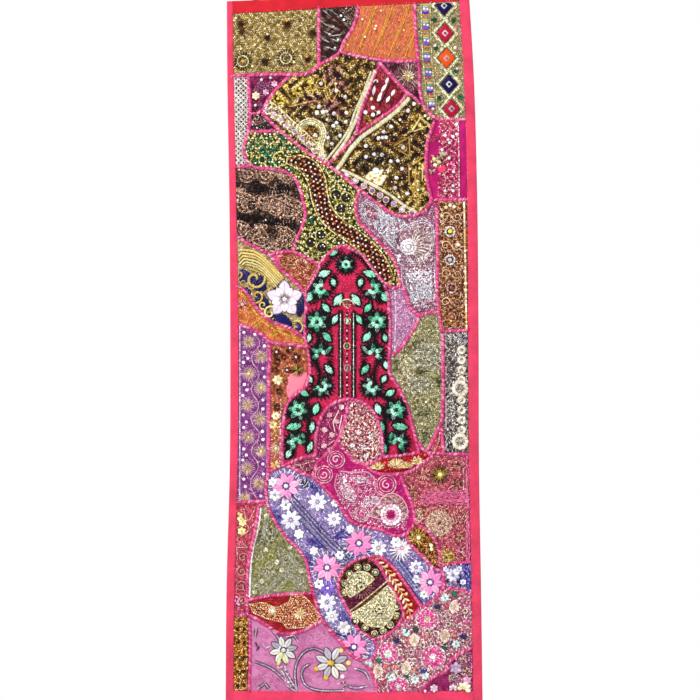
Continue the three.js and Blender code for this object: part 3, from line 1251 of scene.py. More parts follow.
    def leaf(self, places, long, wide, turn, hues):
        """Padded leaves, turned by the same degrees or each by its own."""
        self.put("petal", places, (long / 2, wide / 2), hues, np.radians(turn), self.rise())

    def curls(self, places, radius, hues, width=2.4, turns=1.5, start=0.0, flip=1):
        """Threads that wind inwards round each place."""
        for n, spot in enumerate(np.atleast_2d(places)):
            self.thread(spiral(spot, radius, turns, start + 77 * n, flip), width, hues)

    def finish(self):
        """Joins what was sewn into one piece for each finish."""
        for finish, kept in self.kept.items():
            if kept:
                self.unite(finish, kept)

    def unite(self, finish, kept):
        starts = np.cumsum([0] + [len(k[0]) for k in kept[:-1]])
        points = np.concatenate([k[0] for k in kept])
        triangles = np.concatenate([k[1] + start for k, start in zip(kept, starts)])
        hues, row = np.unique(np.concatenate([k[2] for k in kept]), return_inverse=True)
        levels = np.concatenate([k[3] for k in kept])
        # each level holds the form's random tone and its painted light and shade
        tints = np.array([rgb("#" + hue) for hue in hues])[row] * (0.4 + 1.2 * levels)[:, None]
        name = f"{self.name}_{finish}"
        mesh = bpy.data.meshes.new(name)
        mesh.vertices.add(len(points))
        mesh.vertices.foreach_set("co", in_metres(points).astype(np.float32).ravel())
        mesh.loops.add(triangles.size)
        mesh.loops.foreach_set("vertex_index", triangles.astype(np.int32).ravel())
        mesh.polygons.add(len(triangles))
        mesh.polygons.foreach_set("loop_start", np.arange(0, triangles.size, 3, dtype=np.int32))
        mesh.update(calc_edges=True)
        tint = mesh.color_attributes.new("tint", "FLOAT_COLOR", "POINT")
        tint.data.foreach_set(
            "color", np.column_stack([tints, np.ones(len(tints))]).astype(np.float32).ravel())
        # each hue has a row of the bake map, along which its shades lie
        within = 0.5 + 0.3 * np.sin(np.arange(len(row)) * 2.4)
        spot = np.stack([0.03 + 0.94 * levels, (row + within) / len(hues)], 1)[triangles.ravel()]
        mesh.uv_layers.new(name="OFBake").uv.foreach_set("vector", spot.astype(np.float32).ravel())
        as_piece(name, mesh, finish_material(finish))


# threads and beads by name, each from its deepest shade to its palest; work may also give its
# hues outright, in the same way: six hexadecimal digits each, with spaces between
HUES = {
    "cream": "d8c488 ecdca8 f8f0d0",
    "bone": "6a5040 b89c80 e8d8bc f8f0e0",
    "white": "dcd6dc f4f2f4 ffffff",
    "khaki": "4c3410 8c6a26 b8923e e4c878",
    "amber": "a85c14 d88a24 f0b83c",
    "yellow": "c8a020 ecd040",
    "earth": "140a06 2a160a 4a2a10",
    "jet": "060508 100d12 1a161c",
    "maroon": "1c0406 3c0a10 641418",
    "plum": "2c0418 54103c 8a2860",
    "sequined": "20140c 4c3418 84602c bc9440 ecd088",
    "tinsel": "3c2808 7c5c14 b8942c e4c860 f4e4a0",
    "crimson": "8a0c2c c01c44 e03a64",
    "rose": "a02c54 d8608c f4a8c0",
    "blush": "c07888 e8b4b8 fae0dc",
    "magenta": "8c0c54 c41874 e84c9c",
    "lilac": "7a5088 b088c0 e0c8ec",
    "violet": "3a2a90 6a58c0 a898e0",
    "navy": "0c0a3c 1c1864 34309c",
    "mint": "68c8a0 8ce0bc b4f0d8",
    "teal": "084028 0c5838 1c7c54",
    "rust": "4a180c 8a3c20 c87048",
    "scarlet": "a80c14 d81c24 f04448",
    "gold": "8a6420 c8a050 ecd490",
    "silver": "8c889c c0bcc8 eceaf2",
    "olive": "5c5a34 94905c c8c4a4",
}
METALS = ("gold", "silver", "olive")  # worked in metal thread
SEWN = {}  # the work on each patch, by the patch's name


def sewn(work):
    """Keeps the work on the patch of the same name."""
    SEWN[work.__name__] = work
    return work


def box(x, z, wide, tall, turn=0.0):
    """The closed outline of a block, leaning by degrees."""
    return turned(np.array([(-1, -1), (1, -1), (1, 1), (-1, 1)]) * (wide / 2, tall / 2), turn, (x, z))


def braid(w, path, wide):
    """A flat braid of close cross stitches, with a line sunk along each edge."""
    path = curve(path)
    for side in (-1, 1):
        w.thread(offset(evenly(path, 3), side * (wide / 2 + 0.6)), 1.8, "earth")
    w.row(path, 2.0, (wide / 2, 1.3), "f4e8b4 fcf4d0 fffbe8", "dash", 72)


def daisy(w, at, radius, petals, hues, edge, heart, start=0.0, plump=1.0, low=None):
    """A large flat flower: pointed padded petals on a darker edge, each with a vein."""
    at, mid = np.array(at, float), radius * 0.58
    wide = plump * TAU * radius * 0.56 / petals
    angles = start + 360 * np.arange(petals) / petals
    low = w.rise() if low is None else low
    for tone, more, lift in ((edge, 2.6, low), (hues, 0, low + 0.5)):
        for angle in angles:
            way = turned([(mid, 0)], angle)[0]
            w.pad(lens(at + way, radius * 0.84 + more, wide + more, angle), tone, 0.7, lift)
    for angle in angles:
        vein = at + turned([(mid, 0)], angle)
        w.put("dash", vein, (radius * 0.3, 0.45), edge, math.radians(angle), low + 1.2)
    w.dots(at, radius * 0.17, heart)


@sewn
def gold_brocade(w):
    w.fill("fleck", (4, 3.5), 2.8, "84682c b49858 ccb478 e0cc94 f4e8c0", grain=5)
    blots = [(-215, -71), (-218, -56), (-165, -84), (-126, -58), (-75, -75), (-84, -127), (-170, -132)]
    for n, (x, z) in enumerate(blots):
        w.rays((x, z), 0, 9 - n % 3, 11, "earth", 1.8)
        w.rays((x, z), 4, 12 - n % 3, 13, "7c5c20 5c3c14", 1.2)
        w.pad(arc((x, z), 5.6 - n % 3), "earth", 0.7, 0.9)
    w.dots([(-126, -50), (-86, -122), (-210, -62)], 3.4, "amber")
    rosettes = [(-214, -131), (-128, -125)]
    w.rays(rosettes, 12, 19, 19, "earth", 1.9)
    w.rings(rosettes, 11, "cream", 1.8)
    w.rings(rosettes, 7.4, "earth", 1.4)
    w.dots(rosettes, 4, "khaki")
    w.dots([(-112, -133), (-86, -32), (-81, -36), (-190, -98), (-218, -106), (-195, -141), (-91, -80),
        (-165, -77), (-122, -47), (-170, -66), (-228, -45)], 3, "cream")


@sewn
def charcoal_silk(w):
    w.fill("dash", (6, 2.8), (3.6, 1.1), "140a08 2c1814 4c2c28 6c4c44 a89084", turn=-38, grain=6)
    w.fill("fleck", 4.2, 2.3, "bone", [(-20, -20), (16, -16), (10, -46), (0, -66), (-12, -60), (-14, -34)])
    for streak in (
        [(-52, -30), (-38, -42)], [(-60, -48), (-48, -58), (-38, -62), (-26, -66)],
        [(-50, -72), (-36, -80), (-20, -78)], [(-36, -86), (-24, -92)], [(-48, -102), (-30, -108)],
        [(-40, -28), (-26, -38)], [(-56, -84), (-44, -92)]
    ):
        w.row(streak, 3, (3.4, 1.1), "788074 a8aca0 dcdcd0", "dash", 20)
    w.dots([(-33, -62), (-41, -77), (-12, -48), (-24, -88), (-30, -104), (-18, -40)], 2.6, "white")


@sewn
def orange_silk(w):
    w.fill("fleck", (4.8, 4), 2.8, "d86c44 e8804c e8746c ee8c54 f4a868 ec8c84", turn=68, grain=3)
    for n, x in enumerate(range(-56, 140, 11)):
        foot = -124 + 23 * (n % 3)
        w.row([(x, foot), (x + 20, foot + 54)], 6.4, (3.8, 1.1), "fcb43c ffcc60", "dash", 10)
        w.row([(x + 24, foot + 62), (x + 36, foot + 96)], 7, (3.6, 1), "fcac44 ffc468", "dash", -10)
    w.dots([(30, -82), (50, -66), (108, -69), (25, -47), (52, -60), (95, -104), (-4, -98), (62, -30)],
        2.4, "cream")


@sewn
def diamond_border(w):
    w.fill("fleck", (3.6, 3.3), 2.5, "7c8048 a89858 c8ac74 dcac84 f0d8a8", grain=3)
    w.fill("fleck", 3.6, 2.4, "4c6044 7c8c5c a8b080", [(132, -8), (141, -8), (143, -120), (150, -200),
        (144, -196), (138, -120)])
    for n in range(7):
        x, z = 151 + 0.35 * n * n, -27 - 31.5 * n
        for rise, tall, tone in (
            (10, 3, "d88c40 e0a860"), (6, 4, "4c8c8c 8cb8a0"), (0, 7, "a888c0 8c6ca8"),
            (-7, 5, "34309c 5c4cb0"), (-12, 3, "c8742c b0442c")
        ):
            w.pad(box(x, z + rise, 13, tall), tone, 0.6)
        w.dots([(x - 3, z + 1), (x + 4, z)], 2.2, "white")
        for aside in (-9, 9):
            w.row([(x + aside, z + 15), (x + aside + 1, z - 15)], 3, 1.7, "b8a868 ece4b8")
    w.rays([(168, -48), (207, -49), (171, -104), (221, -203), (178, -205), (212, -150)], 0, 6, 8, "teal",
        1.6)
    w.dots([(210, -104), (170, -100), (214, -146), (166, -226), (212, -64)], 3.4, "blush")
    tiles = ((188, -20, "080444"), (190, -75, "a00830"), (193, -125, "e44c08"), (198, -177, "080444"),
        (203, -226, "a00830"))
    for x, z, tone in tiles:
        rim = evenly(looped([(x - 23, z), (x, z - 27), (x + 23, z), (x, z + 27)]), 3)
        w.row(rim, 3, 2.5, "d0cc9c e8e4bc f8f4dc")
        w.row(grown(rim, 3), 3, 2, "8c9868 e0dcb4")
        w.pad([(x - 18, z), (x, z - 21), (x + 18, z), (x, z + 21)], tone, 0.8, 0.9)
        w.pad([(x - 7, z), (x, z - 8), (x + 7, z), (x, z + 8)], "a8a0a8 c8c0c4", 0.4, 1.8)
        w.put("pearl", (x, z), 3, tone, 0.0, 2.6)


@sewn
def plum_star(w):
    heart = (117, -160)
    w.fill("fleck", 4.2, 2.6, "641440 982c5c c07084", grain=6)
    w.fill("fleck", 3.7, 2.6, "6c4044 946868 b08480 c8a498", arc(heart, 31), grain=4)
    w.fill("fleck", 4, 2.6, "8c5860 c8989c d8b8b0", [(66, -143), (84, -150), (104, -186), (90, -170)])
    w.rays(heart, 11, 26, 22, "6c4c50 a88880 d8c0b0", 1.2)
    w.rays(heart, 2, 13, 13, "c8a860 ecdca0 f8f0cc", 1.5)
    w.dots([heart, (125, -163), (112, -153)], 2.6, "e8cc80 f0e0a8")
    w.pad([(76, -140), (104, -134), (94, -152)], "plum", 0.5)
    w.pad([(121, -197), (139, -186), (143, -214)], "plum", 0.5)


@sewn
def crimson_bars(w):
    w.fill("dash", (6, 3.2), (3.2, 1.1), "7c1428 a82440 c84054 d8646c", turn=-58, grain=10)
    for x, z, long, turn in (
        (74, -170, 17, 72), (68, -184, 22, 55), (60, -200, 20, 62), (86, -194, 16, 62),
        (76, -207, 17, 60), (48, -189, 22, 82), (58, -207, 12, 40), (43, -206, 9, 90)
    ):
        w.pad(lens((x, z), long, 7, turn), "cream" if x == 43 else "white", 1.2)
    w.curls((53, -172), 6, "white", 2.4, 0.8, 200, -1)
    for line in (
        [(54, -165), (46, -184), (50, -210)], [(80, -176), (66, -206), (58, -220)],
        [(92, -182), (96, -190)]
    ):
        w.thread(line, 2.2, "earth")
    w.fill("seed", 3.8, 1.9, "2e1a08 8a6420 d8b850", [(24, -238), (62, -226), (56, -248), (32, -262)])
    w.dots([(31, -233), (57, -233), (46, -224), (46, -238)], 4.6, "white")
    for line in ([(50, -152), (36, -204), (22, -252), (16, -272)], [(104, -204), (62, -240), (22, -270)]):
        w.row(line, 3.2, 1.8, "7c0c38 c82468")


def sequin_ground(w):
    w.fill("seed", (4, 3.6), 2.1, "sequined", grain=7)
    w.fill("seed", 12, 1.8, "cream", grain=0)


def eyelets(w, places, radius):
    """Clusters of pearls in rings of dark beads."""
    pearly = "e8dcd8 fcf4f0 d8c4c8"
    w.rings(places, radius, "earth", 1.5)
    w.rings(places, radius * 0.56, pearly, 1.9, 3)
    w.dots(places, radius * 0.5, pearly)


@sewn
def sequin_left(w):
    sequin_ground(w)
    w.fill("seed", 3.8, 2.1, "tinsel", [(-162, -205), (-128, -168), (-60, -158), (-58, -198), (-90, -205),
        (-130, -226)])
    for area in (
        arc((-34, -156), 20), [(-104, -206), (-56, -194), (-56, -214), (-98, -224)], arc((-32, -222), 20),
        arc((-14, -180), 13)
    ):
        w.fill("seed", 3.6, 2, "2c0812 5c1828 8c3c4c b07880", area)
    w.fill("seed", 3.8, 1.9, "100c08 2c2818 6c6448 b0a888",
        [(-58, -230), (-8, -250), (-40, -318), (-48, -300), (-46, -262)])
    w.dots([(-144, -206), (-134, -206), (-128, -180), (-100, -186), (-74, -190), (-82, -172),
        (-112, -196)], 3.4, "yellow")
    for path in (
        [(-50, -178), (-44, -200), (-36, -212)], [(-52, -190), (-46, -206)],
        [(-30, -176), (-26, -196), (-34, -210)], [(-84, -164), (-80, -178), (-74, -194)],
        [(-120, -222), (-96, -216), (-70, -210)]
    ):
        w.row(path, 3, 2, "c89c40 f0d88c")
    strip = [(-176, -228), (-164, -208), (-141, -225), (-119, -246), (-90, -272), (-50, -312),
        (-44, -334), (-80, -308), (-114, -280), (-150, -250)]
    w.fill("seed", (3.2, 3), 2.1, "7c6444 c8ac84 ecdcb4 f8f0d4", strip, grain=3)
    w.row(curve(strip[1:6]), 3, 2.3, "cream")
    rim = [(-167, -228), (-153, -237), (-139, -248), (-125, -260), (-110, -272), (-95, -285), (-83, -298),
        (-70, -311), (-56, -322)]
    for n, (x, z) in enumerate(rim):
        w.rings((x, z), 5, "e0c0c0 f4e4dc", 1.9, 3.4)
        w.dots((x, z), 4, "9c6ca0 b48cbc")
        w.dots((x, z), 2, "maroon" if n in (2, 3, 4) else "violet")
    arch = curve([(-104, -268), (-96, -256), (-76, -250), (-58, -258), (-52, -276), (-58, -298),
        (-56, -322)])
    w.fill("seed", 3.4, 2.1, "3c2008 8c5c20 c89848", arc((-79, -274), 17), grain=3)
    for aside, hues in ((4, "ecdcae fcf4dc"), (0, "cream"), (-4, "e0d8a8 f8f4d4"), (-7.4, "a09858 dcd494")):
        w.row(offset(arch, aside), 3, 2.4, hues)
    w.rings((-69, -279), 6.4, "earth", 1.7)
    w.rings([(-69, -279), (-62, -222), (-54, -232), (-66, -234)], 3, "white", 2.2)
    w.dots([(-69, -279), (-62, -222), (-54, -232), (-66, -234)], 2.6, "white")
    w.rings((-58, -176), 9, "c89830 ecd070", 2)
    eyelets(w, [(-58, -176), (-27, -190), (-10, -202), (-7, -234), (-33, -260), (-36, -296), (-20, -280),
        (-8, -252), (-48, -232), (-27, -254), (-44, -284), (-32, -236)], 5.4)
    w.dots([(-62, -178), (-90, -192), (-104, -206), (-120, -214), (-28, -176), (-44, -238), (-46, -248)],
        3, "bone")
    braid(w, [(50, -150), (38, -178), (22, -216), (10, -252), (-10, -292), (-38, -330)], 9)
    braid(w, [(42, -152), (28, -190), (10, -232), (-2, -266), (-26, -302), (-52, -334)], 6)


@sewn
def sequin_right(w):
    sequin_ground(w)
    w.fill("seed", 3.8, 2.1, "tinsel", [(104, -400), (122, -380), (128, -330), (150, -330), (152, -400),
        (150, -428), (118, -430)])
    w.fill("seed", 3.8, 2.1, "tinsel", [(120, -240), (150, -236), (160, -262), (124, -272)])
    for area in (
        [(122, -278), (152, -272), (148, -318), (122, -320)],
        [(98, -240), (116, -236), (114, -270), (96, -280)],
        [(102, -318), (116, -340), (116, -392), (106, -384)], arc((78, -288), 13)
    ):
        w.fill("seed", 3.8, 1.9, "maroon", area)
    w.fill("seed", 3.8, 1.9, "060606 1a1810 4c4838", [(2, -336), (40, -296), (96, -330), (70, -344),
        (20, -352)])
    braid(w, [(118, -206), (92, -232), (56, -260), (22, -284), (2, -306), (-22, -342), (-32, -352)], 11)
    for line in (
        [(124, -272), (140, -244), (160, -258), (126, -272)],
        [(88, -300), (118, -282), (120, -322), (100, -310)], [(118, -336), (118, -370), (128, -398)],
        [(132, -340), (130, -372), (138, -402)], [(146, -336), (144, -372)],
        [(70, -292), (90, -296), (118, -282)], [(148, -322), (128, -336)]
    ):
        w.thread(line, 3.2, "gold")
    w.rays([(134, -412), (146, -394)], 0, 10, 9, "gold", 1.8)
    braid(w, [(-16, -348), (10, -360), (44, -378), (80, -398), (110, -420), (132, -432)], 8)
    for x, z in (
        (-6, -358), (11, -370), (28, -380), (44, -390), (60, -399), (72, -408), (88, -416), (104, -427),
        (124, -434)
    ):
        w.rings((x, z), 5.4, "e0c0c0 f4e4dc", 1.9, 3.4)
        w.dots((x, z), 4, "lilac")
        w.dots((x, z), 2, "plum")
    for inset, hues in ((0, "cream"), (6, "dcd4a0 e8e0b4"), (12, "rust")):
        w.pad(grown(drop((56, -358), 54, 50, -1, 1.0), -inset), hues, 0.7)
    w.dots((52, -350), 7, "white")
    w.dots([(44, -370), (58, -368), (40, -360)], 3.4, "amber")
    eyelets(w, [(32, -300), (32, -322), (48, -317), (64, -318), (82, -331), (82, -262), (67, -272),
        (57, -285), (116, -230), (128, -216), (106, -303), (96, -330), (93, -364), (90, -384),
        (115, -395), (104, -346), (65, -284), (72, -283)], 5.6)
    w.dots([(120, -346), (139, -345), (136, -388), (150, -240), (156, -246), (98, -402), (100, -248)], 3,
        "cream")


@sewn
def white_net(w):
    w.fill("fleck", (4.2, 3.6), 2.7, "ece0d8 fcf8f4 ffffff", turn=45, wobble=0.15, grain=4)
    w.fill("fleck", (9.6, 4.8), (2.4, 2), "0c080a 1c1418 2c2024", turn=90, wobble=0.08, grain=0)
    w.row([(-205, -164), (-203, -240), (-212, -310)], 4.4, 2, "rose")


@sewn
def plum_silk(w):
    w.fill("fleck", 4.2, 2.8, "5c1038 8c1c50 b04474 946484", grain=9)
    w.fill("fleck", 4, 2.4, "8c6894 b890bc", arc((-176, -186), 16))
    w.flower((-188, -200), 9, 6, "c8b490 e8d8b4", "cream", "plum")
    w.flower([(-151, -176), (-168, -193)], 7, 6, "c890a8 e0b8c4", "blush", "plum")
    w.dots([(-189, -219), (-159, -164), (-177, -168)], 3, "white")
    w.fill("seed", 3.8, 2, "earth", arc((-189, -226), 7))
    w.fill("seed", 3.8, 2, "plum", [(-164, -196), (-178, -214), (-170, -198)])


@sewn
def black_and_cream(w):
    w.fill("fleck", 3.8, 2.5, "0c0608 200c10 6c3440 c88c8c f8e4d4", grain=0)
    w.pad([(-197, -257), (-160, -253), (-150, -266), (-196, -268)], "jet")
    w.dots([(-178, -259), (-170, -264), (-186, -264)], 2, "bone")


@sewn
def green_beadwork(w):
    w.fill("seed", (3.8, 3.4), 2.1, "1c4024 4c4c18 94882c bcb050 dcd07c f0e4a8", grain=5)
    for area in (
        arc((-184, -292), 11), arc((-163, -283), 8), arc((-135, -285), 9),
        lens((-118, -306), 34, 14, -14), arc((-205, -303), 9), arc((-153, -306), 9),
        arc((-162, -324), 10), arc((-188, -335), 9), arc((-120, -349), 8), arc((-172, -310), 10),
        arc((-150, -338), 8), arc((-78, -450), 7)
    ):
        w.fill("seed", 3.2, 2.1, "teal", area, grain=0)
    w.fill("pearl", 9.5, 2, "cream", grain=0)
    w.row(arc((-138, -328), 16, 80, 180), 3, 2.3, "d8cc78 f4ecb4")
    stones = [(-28, -398), (-8, -404), (-18, -425), (-58, -478), (-56, -503), (-78, -493)]
    w.dots(stones, 10.5, "1c1408 2c1c0c", "sequin")
    w.dots(stones, (7.6, 6.4), "0c080c 200810", "stone")
    w.rings(stones, 10.5, "8c7c28 dcd080", 1.9)
    w.dots([(-27, -396), (-30, -402), (-7, -401), (-17, -422), (-54, -482), (-54, -498), (-80, -490)], 2,
        "white")


@sewn
def maroon_band(w):
    w.fill("seed", (3.8, 3.4), 2.1, "200306 3c060a 581010 7c2814 b06034", grain=4)
    w.fill("pearl", (9.6, 8.4), 2.2, "f4dcc0 fcf4e4 e8b080", turn=40, grain=0, wobble=0.18)
    edge = grown(patches()["maroon_band"].line, -2.4)
    w.row(looped(edge), 3.2, 2.2, "a88c30 e4d47c f4ecb0")
    w.row(looped(grown(edge, -3.6)), 3.8, 1.8, "3c1808 8c5c20 dcb860")


@sewn
def paisley_brocade(w):
    w.fill("fleck", (4, 3.6), 2.7, "08060a 141014 2c1c1c 5c4034 947464", grain=5)
    flesh = "a8745c d8a88c f4d8c0"
    for x, z, long, turn, flip in (
        (-206, -352, 40, 120, 1), (-166, -352, 46, 30, -1), (-128, -360, 30, 160, 1),
        (-206, -408, 50, 110, 1), (-166, -404, 50, 60, -1), (-118, -420, 66, 105, 1),
        (-148, -424, 30, 60, -1), (-218, -464, 34, 130, -1), (-178, -482, 56, 70, 1),
        (-132, -484, 54, 120, -1), (-152, -504, 26, 80, 1), (-228, -398, 28, 40, 1)
    ):
        line = drop((x, z), long, turn, flip, 1.25)
        w.fill("fleck", 3.2, 2.5, "5c3424 " + flesh, line, grain=3)
        for inset, hues in (
            (0, "a87c68 ecccb4"), (0.1, "140c0c 3c2018"), (0.2, "dcb49c f4dcc8"), (0.3, "2c1810 5c3424")
        ):
            w.row(looped(grown(line, -long * inset)), 3.2, (2, 0.9), hues, "dash", 50)
        w.row(spiral(turned([(long * 0.42, 0)], turn, (x, z))[0], long * 0.2, 1.1, turn, flip), 2.6,
            (2.2, 1), flesh, "dash", 40)
    for line in (
        [(-180, -385), (-150, -390), (-124, -384)], [(-228, -440), (-190, -446), (-160, -450),
        (-112, -454)], [(-188, -372), (-184, -396)], [(-196, -412), (-196, -424)],
        [(-140, -380), (-138, -400)]
    ):
        for aside in (-6, -2.4, 1.4, 5):
            w.row(offset(evenly(curve(line), 3), aside), 6, (3.6, 2.2), "06060a 120e10 241416", "fleck",
                aside * 30)
    w.dots([(-187, -464), (-98, -452), (-148, -460), (-180, -365), (-168, -448), (-112, -444)], 2, "bone")


@sewn
def magenta_silk(w):
    w.fill("fleck", 3.7, 2.7, "7c2028 b85c58 e8a89c f8e0d8",
        [(178, -246), (216, -246), (216, -408), (176, -408)], grain=4)
    w.fill("fleck", 4, 2.4, "8c3c2c d87c64", [(156, -276), (178, -278), (178, -292), (154, -292)])
    w.pad(box(196, -252, 30, 7), "a81c34 b82838", 0.5)
    w.fill("fleck", 3.4, 2.3, "4c2c14 a8784c f0e0c0", arc((174, -330), 15), grain=3)
    w.flower((174, -330), 10, 7, "bone", "cream", "earth")
    w.dots([(168, -326), (178, -332), (170, -338)], 4, "cream")
    w.rays([(186, -318), (164, -350)], 0, 8, 8, "bone", 1.6)
    w.dots([(213, -257), (190, -279), (213, -277), (206, -282), (196, -288), (199, -294), (198, -325),
        (184, -308), (207, -352), (206, -390), (206, -380), (190, -390)], 3.4, "white")
    w.pad(arc((184, -346), 9), "crimson", 0.5)
    w.row([(216, -250), (218, -330), (218, -406)], 3.2, 2, "blush")


@sewn
def silver_scroll(w):
    ash = "a49cac c8c0cc e4e0e8 f8f6fa"
    frost = "b0b4c4 d4dce4 ecf0f4 ffffff"
    w.fill("fleck", (4, 3.6), 2.7, "b07890 d0a0b8 e8c8d8 f8e8f0", grain=4)
    for area in (
        [(44, -456), (60, -428), (84, -440), (98, -470), (88, -504), (64, -480)],
        [(118, -604), (122, -572), (164, -572), (170, -604), (150, -624), (126, -618)],
        lens((142, -560), 60, 20, 0), lens((96, -450), 60, 12, -30)
    ):
        w.fill("fleck", 3.3, 2.7, frost, area, grain=4)
    w.fill("seed", 3.8, 2, "8c3c54 c87888 f0d0d4", lens((43, -432), 40, 20, -50))
    for reach in (0, 4, 8):
        w.row(curve([(34 + reach, -456), (23 + reach, -436), (24 + reach, -418), (34, -408 - reach),
            (50, -416 - reach), (64, -432 - reach), (76, -442 - reach)]), 3, (2.2, 1.1), frost, "dash")
    for line in (
        [(66, -474), (76, -466), (90, -470), (88, -486), (96, -500)],
        [(70, -486), (84, -500), (92, -510)], [(104, -540), (104, -570), (116, -606)],
        [(170, -530), (170, -575), (174, -600)], [(112, -545), (114, -580), (124, -604)],
        [(162, -540), (162, -570)], [(96, -520), (100, -536)]
    ):
        w.row(curve(line), 2.8, (2.4, 1.2), frost, "dash", 12)
    w.thread(arc((93, -490), 4.5), 2.4, "5c5460")
    shell = [(98, -470), (108, -462), (130, -452), (152, -450), (166, -460), (168, -490), (160, -515),
        (142, -532), (124, -536), (116, -524)]
    w.fill("fleck", 3.4, 2.4, "b87c8c e0bcc4 f4e4e4", shell, grain=4)
    for inset in (0, 4):
        w.row(curve(grown(np.array(shell, float), -inset)), 2.8, (2, 1.2), "d0ccd8 ffffff", "dash", 20)
    for n in range(11):
        reach = turned([(15, 0), (30, 4), (50 - abs(n - 5), 0)], -58 + 12 * n, (117, -502))
        w.row(curve(reach), 2.6, (2.6, 1.5), "c8b0a4 e4d4c8 f4ece4", "dash", 24)
        w.row(offset(evenly(curve(reach), 3), 2.8), 3, (1.9, 0.6), "7c5c5c a08484", "dash")
    w.fill("fleck", 3.2, 2.4, "c8b8cc ece4f0", arc((117, -502), 17), grain=0)
    w.rings((117, -502), 14, "e8e4f0 ffffff", 2.6, 5.2, "pearl")
    w.rings((117, -502), 8.6, "f8e8e8 ffffff", 2.9, 5.4, "pearl")
    w.dots((117, -502), 5, "d8c8e0 ece4f0")
    w.dots([(97, -528), (99, -520), (97, -504)], 3.4, "white")
    w.fill("pearl", (6, 5), 2, "f4dce4 ffffff", [(112, -545), (160, -545), (162, -572), (116, -574)],
        grain=0)
    w.fill("seed", 4, 2, "a03c5c e8c0cc", lens((150, -612), 30, 16, 10))
    for n in range(4):
        w.row(curve([(124 + 9 * n, -608), (134 + 8 * n, -590), (146 + 6 * n, -580)]), 2.8, (2.2, 1.2),
            frost, "dash")


@sewn
def copper_buttons(w):
    w.fill("fleck", (3.8, 3.4), 2.7, "6c2c18 b06840 dc986c f0c09c fce4d0", grain=4)
    buttons = ((200, -471, "white", "yellow"), (200, -528, "white", "silver"),
        (203, -584, "blush", "rust"), (204, -642, "rust", "rust"))
    for x, z, rim, heart in buttons:
        w.rings((x, z), 17, "5c2810 d8a070 8c4c24", 2, 3.8)
        w.pad(arc((x, z), 12), "4c2410 5c2c14", 0.6)
        w.rings((x, z), 9.6, rim, 2.1, 3.6)
        w.rings((x, z), 7.6, "bone", 1.5, 2.8)
        w.rings((x, z), 6, "3c1c0c b88c50", 1.5)
        w.dots((x, z), 4.6, heart)
    for z in (-442, -499, -556, -612, -656):
        for x, start in ((191, 0), (214, 180)):
            w.curls((x, z), 10, "c89868 ecc8a0", 2, 1.3, start)
            w.curls((x, z), 6.4, "4c200c 6c3418", 2, 1.2, start + 60)
        w.row(arc((202, z + 4), 19, 200, 140), 3, (2.4, 1), "3c180c e0b488", "dash")
        w.dots((202, z + 6), 2.6, "amber")
    w.row([(228, -414), (230, -520), (233, -664)], 4.2, 2.4, "e8c890 f8ecd0 d8a468", "pearl")
    w.row([(222, -414), (224, -520), (226, -664)], 4.2, 2, "5c2c14 e0b488")
    w.dots([(200, -419), (192, -423), (208, -422), (216, -498), (231, -575), (231, -588), (184, -440)], 4,
        "cream")


@sewn
def gold_scrolls(w):
    white, gold = "dcccdc f0e6ee", "b08c3c cca84c dcc06c f0dc94"
    w.fill("fleck", (4, 3.6), 2.7, "947c3c c0a45c d8c480 ece0b0", grain=4)
    w.fill("fleck", 3.8, 2.7, white, [(-246, -498), (-212, -502), (-224, -520), (-246, -526)], grain=0)
    for x, z, long, wide, turn in (
        (-212, -560, 44, 26, 150), (-184, -574, 46, 34, 140), (-176, -612, 44, 26, 130),
        (-138, -650, 60, 30, 150), (-98, -620, 50, 22, 80), (-146, -586, 30, 20, 60),
        (-98, -668, 34, 24, 120), (-206, -590, 24, 16, 120)
    ):
        w.pad(lens((x, z), long, wide, turn), "0a0a44 0e0e4c 141458", 0.5, 0.9)

    def rope(path, wide):
        path = evenly(curve(path), 2.8)
        for run in runs(w.holds(path), 3):
            w.sweep(path[run], wide, 1.8, gold, 5, 1.5)
            # painted highlight and painted shade: pale and brown dashes slanted across the gold stand for the
            # light on the rope's twist
            w.put("dash", path[run], (2, 0.5), "f4e4b0 7c5c24", heading_of(path[run]) + 0.4, 2.6)

    for n in range(7):
        rope([(-240 + 6 * n, -534 - n), (-220 + 3 * n, -508 - 6 * n), (-190 + 2 * n, -512 - 7 * n),
            (-158, -538 - 6 * n), (-132 - 3 * n, -566 - 3 * n)], 4.4 - 0.2 * n)
    scrolls = (((-190, -566), 21, 20, -1), ((-186, -600), 16, 200, 1), ((-156, -588), 12, 60, -1),
        ((-222, -556), 14, 90, 1), ((-160, -634), 15, 30, 1), ((-106, -664), 15, 120, -1),
        ((-130, -668), 11, 300, 1), ((-150, -654), 10, 100, 1), ((-212, -574), 10, 0, -1),
        ((-196, -580), 9, 140, 1), ((-174, -618), 9, 300, -1))
    for at, radius, start, flip in scrolls:
        rope(spiral(at, radius, 1.15, start, flip), max(3.2, radius * 0.26))
    daisy(w, (-131, -606), 38, 5, white, "a890a8", "bone", 18, 0.86, 1.9)
    daisy(w, (-131, -606), 27, 5, white, "a890a8", "a8a098 dcd4cc", 54, 0.9, 2.6)
    w.put("dash", arc((-131, -606), 9)[:-1], (4, 0.6), "8c7c84 c8b8c0",
        heading_of(arc((-131, -606), 9)[:-1]) + 1.57, 4)


@sewn
def orange_band(w):
    w.fill("fleck", (4.4, 3.8), 2.7, "c0503c e07858 f09c70 f8b88c", grain=8)
    w.row(curve([(-238, -588), (-212, -600), (-192, -630), (-160, -662), (-96, -688)]), 4.6, 2.2,
        "d8ac28 f0d860")
    w.rays((-215, -617), 3, 11, 12, "rose", 1.5)
    w.dots((-215, -617), 3.8, "cream")
    w.rays([(-222, -642), (-150, -674), (-185, -655), (-206, -598)], 1, 7, 8, "c89020 f0c848", 1.4)


